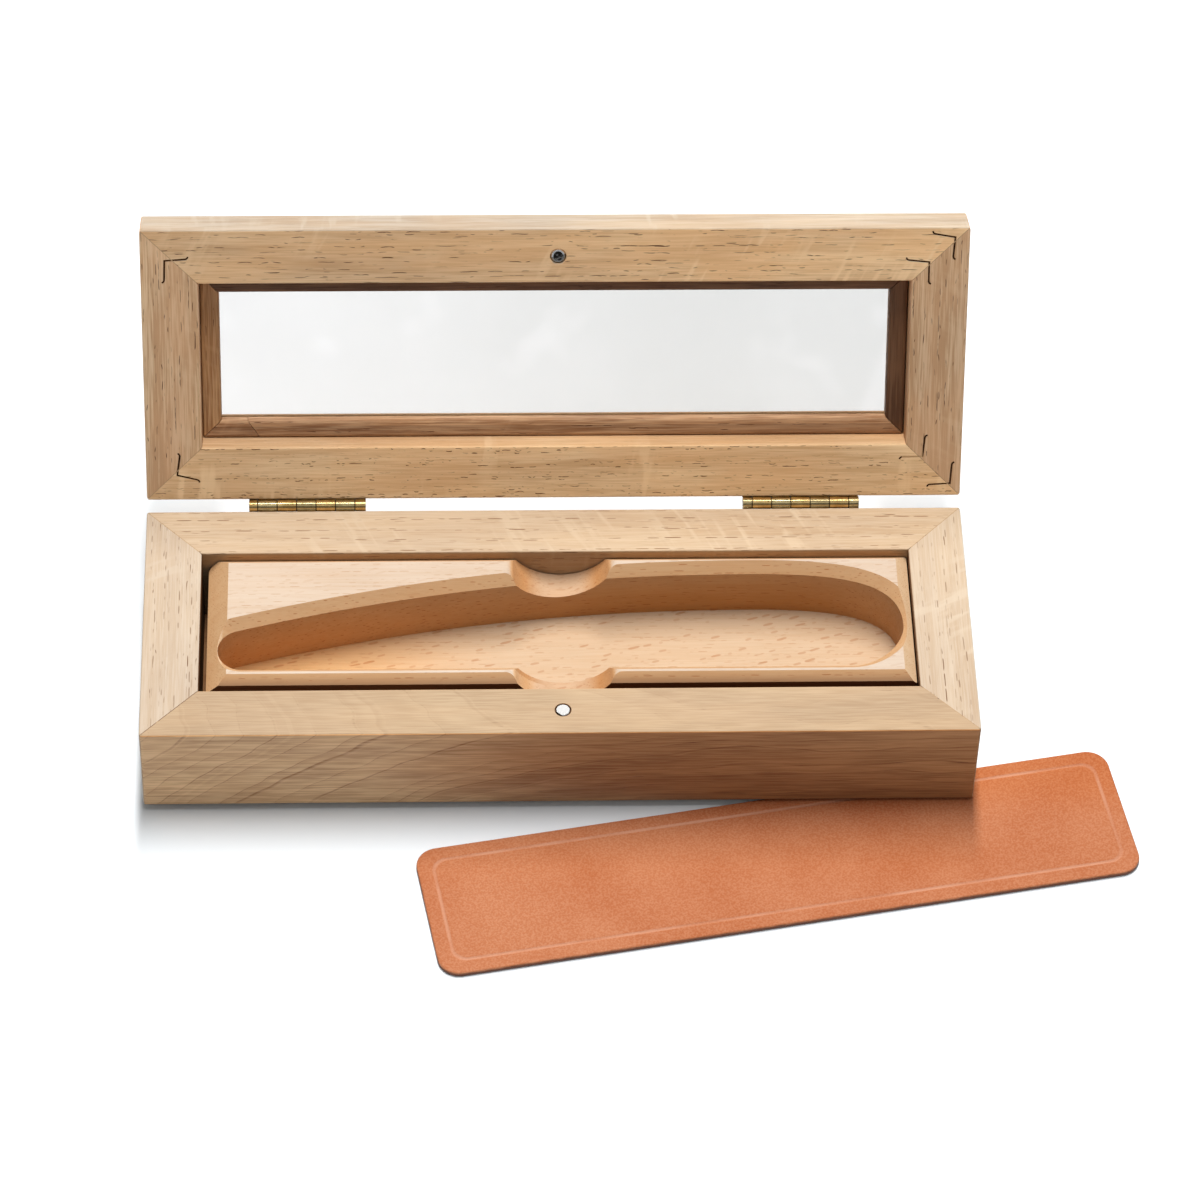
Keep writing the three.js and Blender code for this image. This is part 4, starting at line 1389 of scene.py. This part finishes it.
@dataclass
class LeatherPanel:
    """The leather panel: a rounded sheet with burnished edges and a crease along its border."""

    length: float = 179.6 * MM
    depth: float = 39.6 * MM
    turn: float = math.radians(10)
    corner: float = 5.5 * MM
    corner_loss: float = 0.45
    least_corner: float = 0.3 * MM
    edge_round: float = 0.45 * MM
    edge_steps: int = 6
    crease_inset: float = 4.1 * MM
    crease_half_width: float = 0.62 * MM
    crease_depth: float = 0.18 * MM
    crease_steps: int = 13
    before_crease: float = 2.5 * MM
    inner_insets: tuple[float, ...] = (6 * MM, 8 * MM, 11 * MM, 14 * MM, 17 * MM)
    arc_steps: int = 14
    long_steps: int = 90
    short_steps: int = 22
    colour: Colour = lit(222, 146, 103)
    deep: Colour = lit(197, 109, 62)
    crease: Colour = lit(236, 172, 139)
    edge: Colour = lit(128, 68, 34)
    # Painted shadow of the box: a factor on the leather toward the box, and where it starts and ends.
    box_shadow: Colour = (0.98, 0.84, 0.64, 1.0)
    box_shadow_reach: tuple[float, float] = (-46 * MM, -30 * MM)
    cloud_noise: float = 32.0
    wear_noise: float = 60.0
    rim_noise: float = 300.0
    mottle_noise: float = 1900.0
    pebble_scale: float = 1500.0
    pebble_height: float = 0.06 * MM

    def rim(self) -> tuple[np.ndarray, np.ndarray, np.ndarray]:
        """Points round the sheet, as two places on the corner arcs and the share of the second.

        Returns:
            Signs and angles of the first place, the same of the second, and the shares.
        """
        quarter = np.linspace(0, math.pi / 2, self.arc_steps + 1)
        corners = [(1, 1), (-1, 1), (-1, -1), (1, -1)]
        first, second, share = [], [], []
        for index, sign in enumerate(corners):
            angles = quarter + index * math.pi / 2
            first.append(np.column_stack([np.tile(sign, (angles.size, 1)), angles]))
            second.append(first[-1])
            share.append(np.zeros(angles.size))
            steps = self.long_steps if index % 2 == 0 else self.short_steps
            weights = np.linspace(0, 1, steps + 1)[1:-1]
            after = corners[(index + 1) % 4]
            end = angles[-1]
            first.append(np.tile([*sign, end], (weights.size, 1)))
            second.append(np.tile([*after, end], (weights.size, 1)))
            share.append(weights)
        return np.concatenate(first), np.concatenate(second), np.concatenate(share)

    def profile(self, thickness: float) -> tuple[np.ndarray, np.ndarray]:
        """The sheet's section from the middle of its underside, round its edge, to the middle of its top.

        The edge is two quarter rounds with a flat between them, and the crease is a cosine dip.

        Args:
            thickness: the sheet's thickness in metres.

        Returns:
            Distances in from the edge, and heights.
        """
        middle = self.depth / 2
        under = np.array([middle, middle * 0.6, self.edge_round * 2])
        turn = np.linspace(0, math.pi / 2, self.edge_steps)
        low_in = self.edge_round * (1 - np.sin(turn))
        low_up = self.edge_round * (1 - np.cos(turn))
        crease = np.linspace(-1, 1, self.crease_steps)
        crease_in = self.crease_inset + crease * self.crease_half_width
        crease_up = thickness - self.crease_depth * (1 + np.cos(math.pi * crease)) / 2
        over = np.array([self.edge_round * 1.6, self.edge_round * 3, self.before_crease])
        inner = np.array([*self.inner_insets, middle])
        inset = np.concatenate([under, low_in, low_in[::-1], over, crease_in, inner])
        height = np.concatenate([np.zeros(under.size), low_up, thickness - low_up[::-1],
                                 np.full(over.size, thickness), crease_up,
                                 np.full(inner.size, thickness)])
        return inset, height

    def on_arcs(self, spots: np.ndarray, inset: np.ndarray, radius: np.ndarray) -> np.ndarray:
        """Points on the corner arcs, as the arc's centre plus its radius at the spot's angle.

        Args:
            spots: the signs of a corner and an angle, one row each.
            inset: distances in from the edge.
            radius: the corner's radius at each inset.

        Returns:
            Plan points, one row for each inset and one column for each spot.
        """
        half_x = (self.length / 2 - inset - radius)[:, None]
        half_y = (self.depth / 2 - inset - radius)[:, None]
        x = spots[:, 0] * half_x + radius[:, None] * np.cos(spots[:, 2])
        y = spots[:, 1] * half_y + radius[:, None] * np.sin(spots[:, 2])
        return np.stack([x, y], axis=-1)

    def build(self) -> bpy.types.Object:
        """Makes the panel in place of its CAD node.

        A point of the surface is the rim's point at an inset, where the corner radius shrinks by a
        share of the inset, with the profile's height.

        Returns:
            The panel's object.
        """
        low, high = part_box("leather_panel")
        centre = (low + high) / 2
        thickness = high.z - low.z
        first, second, share = self.rim()
        inset, height = self.profile(thickness)
        radius = np.maximum(self.corner - self.corner_loss * inset, self.least_corner)
        radius = np.minimum(radius, self.depth / 2 - inset)
        plan = (self.on_arcs(first, inset, radius) * (1 - share)[:, None]
                + self.on_arcs(second, inset, radius) * share[:, None])
        rows, columns = plan.shape[:2]
        cosine, sine = math.cos(self.turn), math.sin(self.turn)
        turn = np.array([[cosine, sine], [-sine, cosine]])
        flat = plan.reshape(-1, 2) @ turn + np.array([centre.x, centre.y])
        points = np.column_stack([flat, low.z + np.repeat(height, columns)])
        index = np.arange(rows * columns).reshape(rows, columns)
        ahead = np.roll(index, -1, axis=1)
        quads = np.stack([index[:-1], index[1:], ahead[1:], ahead[:-1]], axis=-1).reshape(-1, 4)
        panel = closed_mesh("leather_sheet", points, quads, {"inset": np.repeat(inset, columns),
                                                           "rise": np.repeat(height, columns)})
        panel.data.materials.append(self.material(thickness))
        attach(panel, "leather")
        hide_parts("leather_panel")
        LOG.info("leather: %s", panel.name)
        return panel

    def material(self, thickness: float) -> bpy.types.Material:
        """Vegetable-tanned leather: fine pebbles, clouds of tone, a paler crease, dark edges and a painted
        shadow of the box.

        Args:
            thickness: the sheet's thickness in metres.

        Returns:
            The new material.
        """
        surface = Surface("leather")
        place = surface.place
        inset = surface.value("Attribute", attribute_name="inset", output="Fac")
        rise = surface.value("Attribute", attribute_name="rise", output="Fac")
        cloud = surface.noise(place, self.cloud_noise, 3.0).ramp(0.3, 0.72)
        mottle = surface.noise(place, self.mottle_noise, 3.0).ramp(0.36, 0.64)
        colour = surface.blend(cloud * 0.45 + mottle * 0.5, self.colour, self.deep)
        # Painted shadow of the box: darker and warmer toward it.
        near = surface.split(place)[1].ramp(*self.box_shadow_reach)
        colour = surface.blend(near, colour, self.box_shadow, "MULTIPLY")
        apart = abs(inset - self.crease_inset)
        # Paler along the crease, broken unevenly by noise.
        crease_share = (apart.ramp(self.crease_half_width * 0.35, self.crease_half_width, 0.75, 0.0)
                  * surface.noise(place, self.wear_noise, 3.0).ramp(0.3, 0.62, 0.35, 1.0))
        colour = surface.blend(crease_share * rise.above(thickness * 0.7), colour, self.crease)
        uneven = surface.noise(place, self.rim_noise) * (thickness * 0.5)
        low = rise + (uneven - thickness * 0.25)
        side = low.ramp(thickness * 0.62, thickness * 0.96, 1.0, 0.0)
        colour = surface.blend(side * inset.below(self.edge_round * 1.2), colour, self.edge)
        pebbles = surface.value("TexVoronoi", feature="SMOOTH_F1", Scale=self.pebble_scale,
                                Vector=place, output="Distance")
        relief = surface.bump(0.5, self.pebble_height, pebbles * 0.6 + mottle)
        return surface.done(Base_Color=colour, Roughness=mottle.ramp(0.0, 1.0, 0.5, 0.66),
                            Specular_IOR_Level=0.4, Normal=relief)


def closed_mesh(name: str, points: np.ndarray, quads: np.ndarray,
                values: dict[str, np.ndarray]) -> bpy.types.Object:
    """A smooth mesh object from a grid whose touching points are joined.

    Args:
        name: the object's name.
        points: corners, one row each.
        quads: corner numbers of each face.
        values: numbers for each corner, kept as attributes of the mesh.

    Returns:
        The new object, linked to the scene.
    """
    joining = 1e-7
    keys = np.round(points / joining).astype(np.int64)
    _, kept, joined = np.unique(keys, axis=0, return_index=True, return_inverse=True)
    corners = joined.ravel()[quads]
    triangles = np.concatenate([corners[:, [0, 1, 2]], corners[:, [0, 2, 3]]])
    real = np.all(triangles != np.roll(triangles, -1, axis=1), axis=1)
    triangles = triangles[real]
    mesh = bpy.data.meshes.new(name)
    mesh.vertices.add(kept.size)
    mesh.vertices.foreach_set("co", points[kept].ravel())
    mesh.loops.add(triangles.size)
    mesh.loops.foreach_set("vertex_index", triangles.ravel().astype(np.int32))
    mesh.polygons.add(len(triangles))
    mesh.polygons.foreach_set("loop_start", np.arange(0, triangles.size, 3, dtype=np.int32))
    mesh.polygons.foreach_set("use_smooth", np.ones(len(triangles), dtype=bool))
    mesh.update(calc_edges=True)
    mesh.validate()
    for key, numbers in values.items():
        attribute = mesh.attributes.new(key, "FLOAT", "POINT")
        attribute.data.foreach_set("value", numbers[kept].astype(np.float32))
    return add_object(name, mesh)


@dataclass(frozen=True)
class Lamp:
    """A soft lamp that faces the middle of the box."""

    name: str
    place: tuple[float, float, float]
    size: tuple[float, float]
    power: float
    lights: bool = True
    shines: bool = True

    def hang(self) -> None:
        """Adds the lamp to the scene."""
        data = bpy.data.lights.new(self.name, "AREA")
        data.shape = "RECTANGLE"
        data.size, data.size_y = self.size
        data.energy = self.power
        lamp = add_object(self.name, data)
        place = Vector(self.place)
        turn = place.to_track_quat("Z", "Y").to_matrix().to_4x4()
        lamp.matrix_world = Matrix.Translation(place) @ turn
        lamp.visible_diffuse = self.lights
        lamp.visible_glossy = self.shines


@dataclass
class Studio:
    """The floor, the light and the camera of the photograph."""

    floor_size: float = 6.0
    sensor: float = 36.0
    frame_pixels: float = 1200.0
    focal_pixels: float = 5155.4
    camera_place: tuple[float, float, float] = (-0.036358, -0.840553, 1.028310)
    clip: tuple[float, float] = (0.05, 20.0)
    yaw: float = math.radians(3.191)
    pitch: float = math.radians(49.707)
    roll: float = math.radians(2.050)
    ambient: float = 0.18
    floor_colour: Colour = (0.80, 0.835, 0.86, 1.0)
    lamps: tuple[Lamp, ...] = (
        Lamp("key", (0.04, 0.70, 2.45), (0.24, 1.85), 100.0, shines=False),
        Lamp("glint", (0.0, 0.16, 2.4), (0.6, 0.4), 11.5, lights=False),
        Lamp("sheen", (0.05, 1.95, 2.4), (1.2, 0.8), 12.0, lights=False),
        Lamp("front_fill", (0.0, -1.6, 2.2), (1.6, 1.0), 4.0),
    )

    def build(self) -> None:
        """Makes the whole studio."""
        self.camera()
        self.floor()
        self.world()
        for lamp in self.lamps:
            lamp.hang()

    def camera(self) -> None:
        """The camera at the photograph's place, with its turn and lens."""
        forward = Vector((math.sin(self.yaw) * math.cos(self.pitch),
                          math.cos(self.yaw) * math.cos(self.pitch), -math.sin(self.pitch)))
        level = Vector((math.cos(self.yaw), -math.sin(self.yaw), 0.0))
        upright = level.cross(forward)
        right = math.cos(self.roll) * level + math.sin(self.roll) * upright
        up = -math.sin(self.roll) * level + math.cos(self.roll) * upright
        data = bpy.data.cameras.new("camera")
        data.sensor_width = self.sensor
        data.lens = self.sensor * self.focal_pixels / self.frame_pixels
        data.clip_start, data.clip_end = self.clip
        camera = add_object("camera", data)
        turn = Matrix((right, up, -forward)).transposed().to_4x4()
        camera.matrix_world = Matrix.Translation(Vector(self.camera_place)) @ turn
        bpy.context.scene.camera = camera

    def floor(self) -> None:
        """A pale floor under the pads and the leather."""
        low = min(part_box("leather_panel")[0].z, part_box("felt_pad_front_left")[0].z)
        corners = np.array([(-1, -1, 0), (1, -1, 0), (1, 1, 0), (-1, 1, 0)]) * self.floor_size / 2
        made = bpy.data.materials.new("floor")
        made.use_nodes = True
        graph = Graph(made.node_tree)
        shader = graph.node("BsdfDiffuse", Color=self.floor_colour)
        graph.node("OutputMaterial", Surface=shader.outputs[0])
        floor = add_mesh("floor", corners + np.array([0, 0, low]), np.array([[0, 1, 2, 3]]), made)

    def world(self) -> None:
        """Even light from all round, and a white background where the camera sees it."""
        world = bpy.data.worlds.new("studio")
        world.use_nodes = True
        bpy.context.scene.world = world
        graph = Graph(world.node_tree)
        path = graph.node("LightPath").outputs
        seen = Value(graph, path["Is Camera Ray"]).larger(path["Is Transmission Ray"])
        strength = self.ambient + seen * (1.0 - self.ambient)
        backdrop = graph.node("Background", Color=PLAIN, Strength=strength)
        graph.node("OutputWorld", Surface=backdrop.outputs[0])


def main() -> None:
    """Builds the studio, the finishes and the leather, and reports each piece."""
    logging.basicConfig(level=logging.INFO, format="%(name)s: %(message)s")
    bpy.context.scene.view_settings.view_transform = "Standard"
    Studio().build()
    wood = WoodWork()
    for piece in PIECES:
        wood.dress(piece)
    MitreSeams("base", in_lid=False).build()
    MitreSeams("lid", in_lid=True).build()
    KnuckleGapShade(tuple(FIRST_EDGES.values())).build()
    Fittings().dress()
    LeatherPanel().build()


if __name__ == "__main__":
    main()
